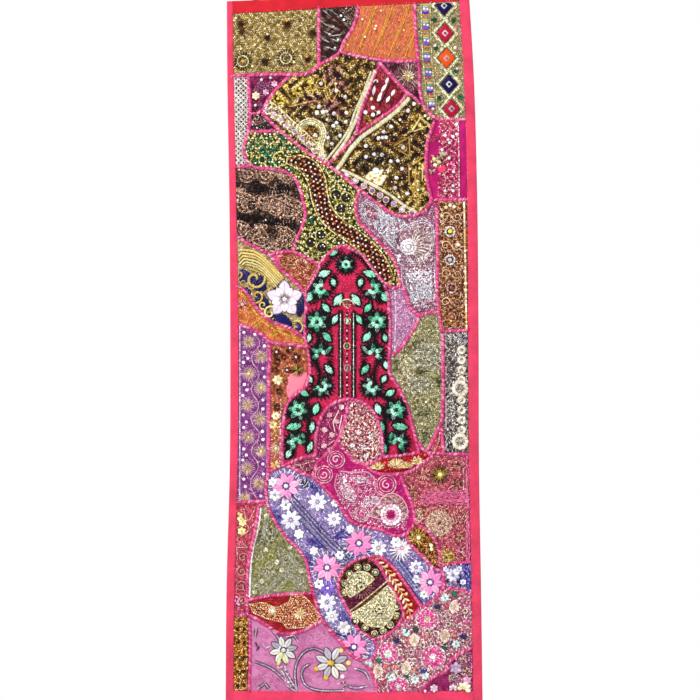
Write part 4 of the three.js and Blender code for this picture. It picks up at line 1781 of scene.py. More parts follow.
@sewn
def rust_scrap(w):
    w.fill("fleck", (4, 3.5), 2.6, "8c2c28 c85c50 e49078 f4bca0", grain=5)
    w.pad([(-158, -520), (-142, -516), (-138, -536), (-146, -540)], "e83c7c f05c94", 0.5)
    w.rays((-98, -541), 9, 16, 14, "d8a078 f4d0b0", 1.8)
    w.rings((-98, -541), 14, "a85038 f0c8a8", 2, 4)
    w.rays((-98, -541), 2, 8, 9, "8c3c2c e09870", 1.5)
    w.fill("fleck", 3.6, 2.3, "4c2414 8c6c3c c8a068", arc((-124, -532), 11), grain=3)
    for z in (-523, -530, -537, -544):
        w.row(curve([(-134, z + 2), (-124, z - 1), (-114, z + 2)]), 3, (2, 0.9), "8c5c34 e0b480", "dash")


def blossom(w, at, radius, opened=360, start=0):
    """A mint flower on a ragged black mass that reaches well past its petals."""
    w.rays(at, radius * 0.5, radius * 1.38, round(opened / 10), "jet", 2.6, start, opened)
    w.rays(at, radius * 1.1, radius * 1.7, round(opened / 17), "jet", 1.9, start, opened)
    w.rays(at, radius * 1.1, radius * 1.5, round(opened / 40), "12182c 243450", 2.0, start + 9, opened)
    petals = max(3, round(opened / 60))
    a = np.radians(start + opened * (np.arange(petals) + 0.5) / petals)
    spots = np.array(at) + 0.66 * radius * np.stack([np.cos(a), np.sin(a)], 1)
    for spot, way in zip(spots, np.degrees(a)):
        w.pad(lens(spot, radius * 1.15, radius * 0.68, way), "mint", 0.8, 1.6)
    w.put("dash", spots, (radius * 0.34, 0.6), "48a884 d8fcf0", a, 2.7)
    w.put("pearl", at, radius * 0.22, "jet", 0.0, 2.4)


@sewn
def crimson_yoke(w):
    axis = -6
    w.fill("fleck", (7, 6), 3, "d81c50 ec3464 f8507c", grain=0)

    def both(places):
        for x, z, *rest in places:
            for flip in (1, -1):
                yield (axis + flip * (x - axis), z), flip, rest

    stems = (
        ((-14, -512), (-36, -526), (-56, -552), (-66, -586), (-72, -616)),
        ((-66, -655), (-62, -690), (-68, -725), (-60, -760), (-70, -795)),
        ((-70, -795), (-94, -812), (-108, -840), (-108, -880), (-114, -920)),
        ((-80, -820), (-84, -880), (-84, -912)),
        ((-30, -556), (-34, -590)),
        ((-40, -636), (-42, -668)),
        ((-40, -726), (-38, -760)),
    )
    for stem in stems:
        for flip in (1, -1):
            path = evenly(curve([(axis + flip * (x - axis), z) for x, z in stem]), 4)
            w.thread(path, 5, "jet", 1.2)
            for aside in (-4, 4):
                w.row(offset(path, aside), 5.4, (3.8, 1.7), "jet", "dash", aside * 14)
    blossom(w, (axis - 2, -537), 14)
    for at, flip, (radius, opened, start) in both([
        (-58, -586, 17, 290, 60), (-66, -652, 18, 360, 0), (-60, -715, 17, 270, -20),
        (-56, -781, 17, 280, 170), (-104, -828, 18, 360, 20), (-108, -893, 17, 280, -20)
    ]):
        blossom(w, at, radius, opened, start if flip > 0 else 180 - start - opened)
    for at, flip, (long, wide, turn) in both([
        (-35, -514, 22, 11, 10), (-52, -556, 28, 13, 20), (-33, -573, 18, 10, 110),
        (-82, -602, 22, 15, 60), (-24, -608, 28, 13, 55), (-48, -624, 22, 11, 130),
        (-30, -647, 22, 10, 60), (-46, -682, 24, 12, 130), (-82, -684, 18, 9, 80), (-42, -706, 16, 8, 40),
        (-84, -738, 18, 10, 80), (-42, -747, 24, 11, 130), (-80, -766, 17, 9, 120),
        (-92, -794, 22, 11, 150), (-68, -826, 24, 12, 70), (-112, -861, 32, 14, 10),
        (-76, -862, 24, 10, 80), (-122, -915, 20, 11, 60), (-80, -902, 24, 10, 70),
        (-94, -880, 16, 8, 110)
    ]):
        lean = turn if flip > 0 else 180 - turn
        w.pad(lens(at, long + 10, wide + 9, lean), "jet", 0.4)
        w.rays(at, wide * 0.4, wide * 1.25, 11, "jet", 1.5)
        w.pad(lens(at, long * 1.05, wide * 1.12, lean), "mint", 0.8, 1.6)
        veins = evenly(turned([(-long * 0.4, 0), (long * 0.4, 0)], lean, at), 3.6)
        w.put("dash", veins, (wide * 0.36, 0.5), "48a884 d8fcf0", math.radians(lean + 60), 2.7)
    for aside in (-13, 13):
        w.fill("dash", (5, 2.6), (3.4, 1.5), "jet", box(axis + aside, -716, 11, 172), turn=90, grain=0)
        w.row([(axis + aside, -640), (axis + aside, -800)], 9, (3.4, 2), "e8f4ec ffffff a8e4c8", "dash")
        w.row([(axis + aside, -636), (axis + aside, -796)], 9, 1.9, "white")
    w.row([(axis, -634), (axis, -798)], 8, (3, 2.4), "jet", "petal")
    w.row([(axis, -638), (axis, -794)], 16, 2.4, "white")
    w.thread(arc((axis, -622), 15, 10, 160), 3.4, "cream")
    w.fill("fleck", 3.2, 2.2, "bone", arc((axis, -616), 9))
    gems = [(-5, -650), (-5, -744), (-6, -700)]
    w.dots(gems, (5, 4), "1c6a54 7c60a8 b8e8d0", "stone", 90)
    w.rings(gems, 6.4, "cream", 1.4)


@sewn
def magenta_leaf(w):
    w.fill("fleck", 4.4, 2.6, "7c2050 b04078 d06c98 e8a0b0", grain=4)
    w.flower([(-41, -838), (-27, -851), (-51, -868), (-36, -878), (-52, -900), (-17, -822), (-40, -908)],
        6.4, 6, "c88c98 dcaab0 ecc4c4", "blush", "plum")
    for line in (
        [(-22, -828), (-34, -852), (-30, -872)], [(-30, -888), (-44, -898)], [(-16, -838), (-22, -868)]
    ):
        w.thread(line, 2, "blush")


@sewn
def speckled_leaf(w):
    w.fill("seed", (3.9, 3.5), 2.1, "a02c44 e08494 f8bcbc fcdcd8 fff4ec", grain=3.4)
    blooms = [(18, -873), (42, -882), (5, -899), (28, -903), (32, -920)]
    w.rings(blooms, 8, "maroon", 1.6, 3.6)
    w.rays(blooms, 1, 6, 7, "white", 2)
    w.dots([(14, -846), (30, -856), (50, -862), (-4, -872), (46, -905), (10, -916)], 2.6, "cream")


@sewn
def lilac_speckle(w):
    w.fill("fleck", (4, 3.6), 2.4, "b87cac e4a4cc f4bcdc fcd8ec", grain=4)
    w.fill("seed", 13, 1.6, "6c3868 f4e0ec", grain=0)
    w.row(curve([(90, -590), (92, -630), (90, -680), (90, -714)]), 4, 2.2, "f0c4dc f8e8f4")


@sewn
def olive_brocade(w):
    w.fill("fleck", (4.2, 3.8), 2.6, "989060 c0bc8c dcd8b4 f0ecd4", grain=4)
    ash = "74706c a8a49c d0ccc4 f0ece4"
    for hues, area in (
        (ash, [(128, -704), (150, -690), (184, -692), (186, -752), (160, -748), (124, -744)]),
        (ash, [(116, -762), (162, -766), (156, -790), (120, -800)]),
        ("a8946c dcc8a8 f4ecd8", [(100, -718), (128, -722), (134, -752), (104, -796), (92, -770)]),
        ("7c7030 e0d8b0", [(118, -806), (180, -800), (176, -822), (126, -826)])
    ):
        w.fill("fleck", 3.8, 2.6, hues, area, grain=4)
    shaded = [(108, -712), (134, -684), (150, -688), (132, -704), (116, -716)]
    w.fill("fleck", 3.6, 2.2, "3c2410 6c4c20", shaded)
    for x, z, long, wide, turn in (
        (92, -738, 34, 14, 80), (142, -752, 30, 12, 10), (176, -772, 34, 12, 80), (146, -834, 40, 14, 10),
        (150, -878, 34, 12, 80)
    ):
        w.fill("dash", (6, 2.2), (3.6, 1.2), "olive", lens((x, z), long, wide, turn), turn=20, grain=0)
    w.dots([(128, -676), (158, -668), (140, -806), (152, -812), (144, -856), (124, -786), (170, -700)],
        2.6, "cream")


@sewn
def crimson_sliver(w):
    w.fill("fleck", 3.8, 2.4, "a8203c ec5c78 f8acb4 f4c8a0", grain=5)
    w.row([(181, -862), (178, -890), (170, -910)], 4, 2, "blush")


@sewn
def purple_suns(w):
    w.fill("fleck", (5.4, 4.6), 2.8, "8c3c78 b05ca0 cc80bc dca0cc", grain=6)
    suns = [(-202, -692), (-202, -755), (-205, -818), (-203, -882), (-205, -945), (-210, -1004),
        (-178, -721), (-178, -783), (-180, -846), (-178, -910), (-182, -975)]
    w.rays(suns, 9, 16, 21, "b07ca0 d4a8b8 e8c4c8", 1.1)
    w.rays(suns, 4, 12, 19, "cca49c ecccb4 f8e4cc", 1.2)
    w.rays(suns, 0, 6, 9, "c8984c ecd894", 1.3)
    w.dots(suns, 1.8, "8c5c24 f4ecc0")
    vine = [(-192, -676), (-181, -690), (-182, -701), (-195, -716), (-195, -732), (-183, -751),
        (-183, -763), (-196, -781), (-195, -795), (-184, -812), (-184, -826), (-196, -842), (-196, -853),
        (-183, -872), (-183, -886), (-195, -902), (-196, -914), (-184, -934), (-184, -946), (-197, -966),
        (-198, -982), (-188, -1002)]
    w.row(curve(vine), 2.6, (2.4, 1), "c8a4b4 ecd0cc e0b8c0", "dash", 25)
    w.dots([(-212, -673), (-190, -677), (-171, -700), (-211, -713), (-204, -725), (-213, -733),
        (-174, -745), (-171, -762), (-211, -777), (-206, -788), (-214, -799), (-174, -808), (-174, -826),
        (-213, -838), (-207, -852), (-212, -863), (-175, -871), (-174, -887), (-212, -906), (-207, -918),
        (-214, -928), (-174, -936), (-173, -956), (-212, -966), (-209, -981), (-178, -1000)], 3.5,
        "f0e4f0 ffffff")
    w.row([(-220, -658), (-220, -1008)], 3.6, 1.7, "e0d0f0 ffffff")
    w.row([(-166, -690), (-166, -1000)], 4, 1.6, "e888c0 f0b0d8")


@sewn
def coral_flowers(w):
    chestnut, tan = "3c1008 6c2818 945034", "a8683c d8a068 ecc894"
    for hues, area in (
        ("7c3018 c06c44 e89c70 fcc8a0", [(-166, -696), (-92, -696), (-92, -738), (-120, -744),
        (-124, -800), (-128, -850), (-166, -850)]), ("94602c d8a058 f0d090 f8e8c0",
        [(-166, -850), (-128, -850), (-134, -890), (-166, -890)]),
        ("d86c5c f09484 fcc0a4", [(-166, -890), (-134, -890), (-136, -952), (-166, -952)])
    ):
        w.fill("fleck", (4.4, 4), 2.7, hues, area, grain=4)
    w.pad([(-122, -756), (-106, -748), (-84, -752), (-82, -780), (-98, -800), (-124, -808), (-130, -788)],
        "f86c84 fc7c90", 0.4)
    for x, z, radius in (
        (-147, -714, 11), (-120, -708, 10), (-108, -724, 12), (-146, -731, 9), (-132, -722, 7),
        (-150, -748, 8), (-124, -748, 7), (-141, -790, 9), (-146, -822, 9)
    ):
        w.rays((x, z), 2, radius, 15, chestnut, 1.4)
    w.dots([(-147, -712), (-126, -748), (-108, -722), (-120, -704)], 2.6, "white")
    w.rays((-105, -749), 0, 15, 19, "4c2810 8c7430 c8ac64", 1.4)
    w.rays((-144, -768), 9, 19, 23, "8c4420 c88454", 1.6)
    w.flower((-144, -768), 11, 7, "cream", "white", tan)
    w.flower([(-154, -858), (-148, -840)], 9, 7, "cream", "yellow", "amber")
    w.flower((-149, -938), 11, 8, tan, "cream", "rust")
    w.rays((-148, -905), 6, 12, 14, "blush", 1.4)
    w.rings((-148, -905), 6, "cream", 1.8)
    w.dots((-148, -905), 4, "cream")
    w.row([(-138, -800), (-139, -850), (-140, -935)], 4, 2, "blush")


@sewn
def lace_strip(w):
    w.fill("fleck", (4, 3.6), 2.7, "241c1c 6c605c b4a8a0 e0d8cc f8f0e4", grain=4)
    ivory = "c8bca8 e0d4c0 f4ecdc"
    for z in range(-708, -876, -20):
        if z != -788:
            w.fill("fleck", 3.2, 2.7, ivory, arc((223, z), 9), grain=3)
            w.rings((223, z), 6, ivory, 3, 4.4, "pearl")
            w.row(arc((214, z), 9, 90, 180), 3, 1.8, "5c5458 fcfaf8")
    for z in (-785, -891):
        w.fill("fleck", 3.3, 2.8, ivory, arc((220, z), 16), grain=3)
        w.rings((220, z), 13, ivory, 4.6, 6.6, "pearl")
        w.fill("fleck", 3.4, 2.4, "4c4848 8c8884 d0ccc8", arc((220, z), 8), grain=3)
    for x, z, long, turn in (
        (212, -686, 22, 120), (203, -756, 14, 60), (204, -822, 20, 80), (204, -842, 16, 40),
        (200, -684, 16, 90), (206, -735, 12, 90)
    ):
        w.fill("fleck", 3.2, 2, "white" if long > 14 else "jet", lens((x, z), long, 9, turn), grain=3)
    w.fill("dash", (6, 3), (3.4, 1.1), "7c7488 d8d0dc fafafa", box(226, -686, 20, 22), turn=50, grain=0)
    w.fill("dash", (6, 3), (3.4, 1.2), "0c0a0c 5c585c f4f0ec", box(200, -896, 18, 34), turn=90, grain=0)
    w.row([(192, -672), (192, -910)], 6, (3.6, 1.6), "c8a0b0 ecd0d8 4c2c3c", "dash")
    w.row([(236, -672), (238, -910)], 6, (3.6, 1.6), "1c141c c8a0b0 0c0a0c", "dash")


@sewn
def red_sprays(w):
    w.fill("fleck", 5, 2.6, "c8141c e83434 f8605c", grain=6)
    gilt = "c8985c ecd098 fcf0cc"
    # painted shadow: a maroon row of flecks under the sprays
    w.row([(40, -948), (70, -952), (104, -950), (126, -942)], 3.4, 2.2, "maroon", "fleck")
    for x, z, wide in ((55, -939, 15), (93, -936, 19), (114, -938, 12), (135, -930, 13)):
        w.rays((x, z - 6), 2, wide, 13, gilt, 1.6, 0, 180)
        w.fill("fleck", 3.2, 2.4, gilt, arc((x, z), wide, squash=0.5), grain=3)
    w.curls([(88, -932), (100, -938), (56, -940)], 8, gilt, 2.8, 1.2)
    w.rays((135, -929), 2, 11, 7, gilt, 2)
    w.dots([(70, -933), (150, -918), (110, -926)], 3.4, "scarlet")


@sewn
def dusty_pink(w):
    w.fill("fleck", (4, 3.6), 2.6, "a03440 d05c70 ec7c94 f8a4b0 f0c8a8", grain=4)
    w.fill("dash", (7, 2.6), (4.2, 1.4), "ec68a0 f074a8 f484b4",
        [(150, -990), (250, -986), (250, -1018), (138, -1016)], turn=0, grain=0)
    w.fill("dash", (7, 2.6), (4.2, 1.4), "f078b0 f890c0",
        [(231, -918), (250, -918), (250, -1132), (231, -1132)], turn=90)
    w.rays((180, -957), 6, 22, 27, "2c1c0c 5c4018 9c8034", 1.4)
    w.rays((180, -957), 3, 11, 15, "a88c20 d8c048", 1.4)
    w.dots((180, -957), 5, "f8ec9c")
    for x, z, radius in (
        (126, -992, 10), (148, -955, 14), (212, -940, 11), (213, -976, 12), (150, -1030, 9),
        (220, -1082, 10), (160, -1095, 9)
    ):
        w.rays((x, z), radius * 0.4, radius, 15, "7c3028 b88458 f0ccb0", 1.3)
        w.rings((x, z), radius * 0.4, "7c3028 e8a090", 1.6, 3.2)
    beige = "d0a48c ecc8b0 fce8d4"
    for at, radius in (((178, -1054), 27), ((133, -1040), 14), ((192, -1122), 17)):
        tones = beige if radius != 17 else "b08428 dcb450 f4e090"
        w.fill("fleck", 3.4, 2.5, tones, arc(at, radius), grain=4)
        for part in (0.98, 0.72, 0.44):
            w.rays(at, radius * (part - 0.24), radius * part, round(radius * part * 1.5) + 3, tones, 1.3)
            w.rings(at, radius * (part - 0.26), "8c3c34 b86c58", 1, 3.2, "fleck")
        w.dots(at, 3, "8c3c34 6c3424")
    for n in range(4):
        w.row(curve([(200 + 7 * n, -1030), (210 + 5 * n, -1056), (226 + 5 * n, -1034)]), 3, (2.4, 1),
            "f4b4a0 8c3430 fcdccc", "dash")
    w.rays((222, -1108), 3, 11, 13, "rose", 1.6)
    w.rings((222, -1108), 4, "blush", 1.8)
    w.row([(226, -925), (227, -986)], 4, 2, "blush")


@sewn
def magenta_spirals(w):
    w.fill("fleck", (5.4, 4.6), 2.8, "b81870 dc2c84 ec58a0", grain=6)
    pale = "dc98b0 f4c4d0 fce4e4"
    frosted = "c07094 e4acc4 f8dce4 ffffff"
    w.fill("fleck", 3.7, 2.5, frosted, [(-22, -950), (30, -946), (52, -966), (52, -992), (96, -1004),
        (118, -1030), (112, -1068), (60, -1062), (10, -1050), (-6, -1030), (-26, -1000), (-28, -976)],
        grain=4)
    for at, radius, start in (
        ((-28, -927), 17, 30), ((-52, -957), 17, 200), ((73, -977), 19, 90), ((23, -1036), 15, 300)
    ):
        w.row(arc(at, radius), 2.8, (2.2, 1.1), pale, "dash", 20)
        w.row(arc(at, radius * 0.74), 2.8, (2.2, 1.1), pale, "dash", 20)
        w.curls(at, radius * 0.5, pale, 2.6, 1.2, start)
    w.thread(curve([(-20, -950), (10, -953), (34, -952), (48, -962), (52, -990), (64, -998),
        (92, -1000)]), 3, pale)
    w.thread(curve([(-26, -956), (-30, -980), (-18, -1006)]), 2.6, pale)
    for cloud in (
        lens((-4, -992), 52, 26, -60), lens((40, -1010), 46, 20, 20), lens((20, -966), 40, 16, 0)
    ):
        w.fill("fleck", 3.2, 2.4, "ecd0e0 ffffff", cloud, grain=4)
    w.flower([(-12, -967), (58, -1018)], 7, 6, frosted, "blush", "lilac")
    border = drop((76, -1032), 78, 215, -1, 1.1)
    w.fill("fleck", 3.6, 2.5, "a88470 d8bca0 ecdcc8", border, grain=4)
    w.thread(looped(border), 2.4, pale)
    w.pad(arc((82, -1037), 24), "magenta", 0.6)
    w.rings((82, -1037), 18.6, "dcb0c8 f4e4ec ffffff", 4, 7.2, "pearl")
    w.rings((82, -1037), 12.6, "e0b8cc f8f0f4", 3, 5.6, "pearl")
    w.pad(arc((82, -1037), 8), "magenta", 1.6)


@sewn
def dusty_maroon(w):
    w.fill("fleck", 4, 2.6, "7c2440 bc4c70 d87090 eca4ac", grain=5)
    for line in (
        [(-128, -941), (-100, -938), (-72, -930)], [(-104, -934), (-90, -952)], [(-88, -926), (-76, -944)]
    ):
        w.row(line, 4, 1.8, "blush")


@sewn
def lavender_flowers(w):
    w.fill("fleck", (4.8, 4.2), 2.8, "7c5ca0 a88cc8 c4a8d8 dcc8ec f0e4fc", grain=4)
    w.fill("petal", (12, 9), (2.6, 1.2), "e4e0f4 ffffff", grain=0)
    for at, long, turn in (
        ((-70, -988), 46, 125), ((-146, -1042), 44, 100), ((-14, -1076), 40, 20), ((-84, -1128), 40, 100),
        ((-12, -1245), 34, 120), ((138, -1146), 30, 120), ((-68, -1094), 40, 160)
    ):
        w.fill("dash", (6, 2.6), (3.8, 1.3), "34288c 5444ac 746cc4", lens(at, long, 20, turn), turn=turn)
    w.fill("dash", (4.6, 2.4), (3.2, 0.9), "0c0a14 fafafa", lens((-92, -974), 32, 14, 150), turn=60,
        grain=0)
    slope = evenly(curve([(-128, -1000), (-96, -1036), (-60, -1076), (-30, -1106), (-4, -1130)]), 5)
    for aside, hues in (
        (-12, "navy"), (-9, "a8a0d8"), (-5.6, "silver"), (-2.4, "5c4c84"), (0.8, "b8b0e0"),
        (4.2, "4c3c78"), (7.6, "silver"), (11, "navy")
    ):
        w.row(offset(slope, aside), 3.4, (2.4, 1.2), hues, "dash", 14)
    for aside, hues in (
        (-9, "navy"), (-5.6, "8c94d8"), (-2.2, "silver"), (1.2, "5c64b8"), (4.6, "a8b0e0"), (8, "navy")
    ):
        w.row(offset(evenly([(92, -1130), (122, -1168), (152, -1208)], 5), aside), 3.4, (2.4, 1.3), hues,
            "dash", 14)
        w.row(offset(evenly(curve([(-6, -1128), (20, -1119), (58, -1114)]), 5), aside * 0.7), 3.4,
            (2.4, 1), hues, "dash", 14)
    for n, at in enumerate([(-128, -980), (18, -1094), (-46, -1143), (160, -1172), (8, -1302)]):
        lean = (14, 30, 6, 38, 22)[n]
        w.rays(at, 24, 36, 20, "e8e0f4 ffffff", 1.7, lean)
        daisy(w, at, 29, 8, "f088c0 f49cc8 f8b0d4", "9c4c94", "e8f0fc", lean, 1.1)
        w.rings(at, 7, "4c2c7c 6c4ca0", 1.8, 3.4)
    white = {(-65, -1012): 20, (-118, -1048): 22, (-128, -1018): 12, (-32, -1046): 16, (57, -1104): 18,
        (-46, -1212): 20, (-36, -1240): 15, (-150, -998): 13, (132, -1142): 15, (92, -1092): 12,
        (-102, -1076): 11, (-72, -1110): 10, (-20, -1118): 10, (133, -1166): 9, (148, -1196): 9,
        (-62, -1176): 11, (-12, -1262): 14, (0, -1066): 9, (-154, -972): 10, (-30, -1014): 9}
    for n, (at, radius) in enumerate(white.items()):
        if radius > 14:
            daisy(w, at, radius, 8, "ece8f0 ffffff", "948cb8", "c8a8d0 f0e0a8", 17 * n)
        else:
            w.flower(at, radius, 6, "white", "silver", "6c6498", 0.8, 17 * n)
    w.rays((101, -1108), 5, 25, 17, "e8dce4 ffffff", 2)
    daisy(w, (104, -1104), 17, 8, "f0e4ec faf0f4", "b88ca8", "rose", 10)
    daisy(w, (-45, -1184), 18, 8, "8464c8 a484d8", "4c3484", "white", 20)
    w.fill("seed", 4, 1.9, "cream", lens((-10, -1264), 34, 16, 0), grain=0)
    w.thread(curve([(-28, -1274), (-12, -1281), (4, -1274)]), 3, "navy")


@sewn
def maroon_medallion(w):
    w.fill("seed", (4, 3.6), 2, "2c0a08 54180c 7c3420 a86c38", grain=4)
    seed = "c8bc84 e8e0b0 fcf8d8 ffffe8"
    wheel = np.vstack([arc((22, -1181), 30, 30, 194), [(26, -1186)]])
    lower = [(-1, -1237), (30, -1218), (76, -1178), (90, -1202), (86, -1237), (66, -1261), (39, -1259),
        (17, -1244)]
    w.fill("dash", (5, 2.2), (3.8, 1.4), "54083c 6c1048 841c5c",
        [(-12, -1206), (20, -1186), (50, -1168), (61, -1150), (80, -1174), (40, -1204), (-1, -1235)],
        turn=38, grain=0)
    for n in range(3):
        w.row(curve([(-6, -1212 - 6 * n), (22, -1202 - 5 * n), (60, -1166 - 5 * n)]), 4, (3, 0.8),
            "841c5c a03478", "dash")
    for area, at, reach in ((wheel, (22, -1181), 28), (curve(lower, closed=True), (59, -1226), 34)):
        w.pad(area, "e8dca8", 0.2, 0.3)
        w.fill("seed", (3.7, 3.4), 2.2, seed, area, grain=3)
        w.rays(at, reach * 0.45, reach * 0.95, 24, "c8bc84 e8e0b0", 0.9)
        w.row(looped(area), 3.2, 2.4, "cream")
        w.rings(at, 9, "earth", 2, 3)
        w.rings(at, 5, "cream", 1.8, 3)
        w.dots(at, 2.6, "earth")
    w.row(curve([(-4, -1240), (30, -1215), (78, -1174)]), 2.6, (3.2, 1.3), "3c2008 6c4818", "dash", 40)
    w.row(curve([(-6, -1234), (26, -1210), (74, -1170)]), 3, 2.2, "cream")
    circles = [(-1, -1155), (16, -1142), (34, -1142), (51, -1152), (-10, -1174), (-12, -1193),
        (93, -1221), (94, -1239), (81, -1257), (66, -1269), (49, -1275), (30, -1263), (10, -1250)]
    w.dots(circles, 8, "earth", "sequin")
    w.rings(circles, 6, seed, 2.3, 3)
    w.dots(circles, 4.4, "b8b078 d8d0a0")
    w.dots(circles, 2.4, "5c5430 6c4c34")


@sewn
def red_and_gold(w):
    w.fill("fleck", (4.4, 4), 2.7, "a01020 cc2030 e44048", grain=6)
    gold = "c89454 ecd8a4 f8ecc8"
    path = evenly(curve([(52, -1128), (74, -1150), (98, -1184), (112, -1212), (122, -1240)]), 4)
    w.row(path, 3.4, (2.2, 1), gold, "dash")
    for side, slant in ((4, 42), (-4, -42)):
        w.row(offset(path, side), 11, (6, 2.2), gold, "petal", slant)
    w.row(offset(path, 8), 22, 3, "f4dca8 ecc484", "pearl")
    w.row(offset(path, -7)[2:], 22, 3, "f4dca8 ecc484", "pearl")


@sewn
def olive_gold(w):
    w.fill("seed", (3.9, 3.5), 2, "4c1c0c 8c481c cc843c ecb070", grain=4)
    w.rays((134, -1084), 4, 19, 17, "3c2808 a88430 d8b854", 1.9)
    w.fill("seed", 3.6, 2, "a88428 dcbc58 f0e090", arc((131, -1083), 10), grain=3)
    w.dots((137, -1083), 5, "fcf4b8")
    w.fill("fleck", (3.8, 3.4), 2.4, "a84c20 d88c4c ecc890",
        [(150, -1094), (164, -1094), (172, -1112), (176, -1138), (164, -1130), (150, -1112)], grain=3)
    w.dots([(163, -1106), (162, -1098)], 4, "cream")
    w.row(curve([(152, -1075), (168, -1096), (172, -1128)]), 3.4, (3.4, 1.4), "rust", "dash", 60)


@sewn
def olive_branches(w):
    w.fill("fleck", (4.8, 4), (2.8, 1.2), "706c3c 98945c b8b484 d8d4ac", grain=4)
    pale = "b8b49c dcd8c4 f4f0e4"
    for area, turn in (
        ([(-172, -1104), (-150, -1100), (-146, -1126), (-182, -1146), (-194, -1170), (-190, -1130)], 60),
        (lens((-132, -1184), 46, 16, 15), 10), (lens((-138, -1078), 34, 10, 125), 120)
    ):
        w.fill("dash", (6, 2.4), (3.8, 1.2), "94904c b0ac64 c8c48c", area, turn=turn, grain=0)
    w.fill("fleck", 3.6, 2.4, "2c2818 8c8870 d8d4c4", [(-186, -1066), (-160, -1060), (-150, -1084),
        (-160, -1098), (-192, -1096)], grain=4)
    spines = ([(-186, -1178), (-164, -1160), (-150, -1152)],
        [(-176, -1196), (-152, -1174), (-134, -1156), (-124, -1150)],
        [(-148, -1192), (-132, -1172), (-120, -1148), (-112, -1118)],
        [(-120, -1160), (-104, -1178), (-90, -1188)], [(-122, -1150), (-104, -1160), (-88, -1172)],
        [(-140, -1106), (-136, -1130), (-126, -1150)], [(-122, -1114), (-106, -1138), (-90, -1152)],
        [(-164, -1030), (-168, -1056), (-174, -1084)])
    for spine in spines:
        path = evenly(curve(spine), 2.6)
        for side in (-1, 1):
            w.row(offset(path, side * 3.1), 3.4, (3.2, 0.8), pale, "dash", side * 42)
        w.row(path, 2.6, (2, 0.8), "94906c d8d4c0", "dash")
    for x, z in (
        (-180, -1120), (-160, -1136), (-100, -1168), (-150, -1180), (-128, -1124), (-186, -1180),
        (-112, -1190), (-152, -1070), (-172, -1148)
    ):
        w.row(spiral((x, z), 9, 1.3, x, 1), 2.6, (2, 0.8), pale, "dash", 20)
    w.flower([(-167, -1040), (-168, -1108), (-120, -1104), (-136, -1148), (-98, -1150), (-176, -1170),
        (-190, -1192), (-146, -1132)], 6, 6, "b8b490 dcd8bc", pale, "6c683c")
    w.row(curve([(-178, -1026), (-184, -1066), (-195, -1112), (-201, -1200)]), 5, (4.4, 1.7),
        "d8dccc ffffff", "petal", 30)
    w.row(curve([(-160, -1204), (-120, -1201), (-84, -1198)]), 5, 2.2, "8c8c50 e8e4cc")


@sewn
def dusty_red(w):
    w.fill("fleck", (4.4, 4), (2.8, 1.1), "a42c44 d05068 ec7084 f898a0", grain=5)
    w.fill("fleck", 3.8, 2.4, "khaki", [(-228, -1036), (-204, -1044), (-208, -1078), (-226, -1076)],
        grain=3)
    w.flower([(-214, -1052), (-216, -1070), (-222, -1040)], 9, 6, "cream", "amber", "8c5c20")
    pale = "e08090 f4b4b8 fae0dc"
    for path in (
        [(-192, -1030), (-200, -1046)], [(-188, -1050), (-204, -1070), (-224, -1084)],
        [(-212, -1026), (-208, -1044)], [(-228, -1086), (-204, -1102), (-222, -1102)],
        [(-226, -1104), (-224, -1124)]
    ):
        w.row(curve(path), 2.6, (2.4, 1.1), pale, "dash", 20)
    for x, z, radius, start in (
        (-214, -1122, 10, 0), (-216, -1150, 10, 120), (-218, -1180, 11, 40), (-216, -1206, 10, 200)
    ):
        w.row(spiral((x, z), radius, 1.4, start), 2.6, (2, 0.9), "f0a8a8 f8d0c4", "dash", 20)
        w.row(spiral((x, z), radius - 3, 1.3, start), 3, (2, 0.8), "8c2c34 b85c5c", "dash")
    w.fill("petal", 6, (3, 1.6), "e088c0 f0b0d8", lens((-223, -1211), 26, 14, 90), grain=0)
    w.row([(-232, -1030), (-236, -1230)], 6, 2, "e890a0 f4c8c8")
    w.row(curve([(-200, -1110), (-208, -1170), (-210, -1230)]), 4.4, (3, 1), "8c1c54 e06090", "dash", 50)


@sewn
def red_lens(w):
    w.fill("dash", (7, 3.2), (4.2, 1.3), "b41428 d02038 e43c50", turn=8, grain=8)
    mass = curve([(-200, -1216), (-172, -1213), (-148, -1222), (-122, -1212), (-117, -1198),
        (-100, -1196), (-86, -1206), (-72, -1222), (-60, -1238), (-72, -1256), (-98, -1263),
        (-126, -1264), (-134, -1252), (-152, -1248), (-172, -1242), (-194, -1232)], closed=True)
    w.fill("seed", (3.4, 3.1), 1.9, "84300c b4562c cc8448 e0b078", mass, grain=4)
    w.fill("seed", (5, 4.4), 1.8, "d8b070 f0dca4 fcf8e4", mass, grain=0)
    for at, radius in (((-100, -1236), 14), ((-155, -1229), 10)):
        w.rays(at, 2, radius, 11, "e8e0b0 fcfcf0", 2)
        w.dots(at, radius * 0.33, "yellow" if radius > 12 else "white")
    w.row(mass, 4, 1.9, "e8c890 f8ecc4")
    w.row([(-198, -1209), (-152, -1201)], 3, 2, "maroon", "fleck")


@sewn
def gold_ladder(w):
    w.fill("seed", (3.8, 3.4), 2.1, "6c3c0c b87424 dc9c3c ecb868 f8d898", grain=4)
    for side in (-231, -203):
        w.thread([(side, -1236), (side - 1, -1392)], 3.4, "3c1808 1c0a04")
    for side, slant in ((-226, 45), (-208, 135)):
        w.row([(side, -1240), (side, -1390)], 6, (3.6, 1.3), "b47c18 e0b040", "dash", slant)
    for z in (-1237, -1265, -1292, -1321, -1350, -1378):
        for turn in (45, 135):
            w.dots([(-225, z), (-211, z)], (5.4, 2.4), "3c0c08 240804", "fleck", turn)
        w.dots((-217, z - 9), 2.8, "b45c3c d88864", "fleck")


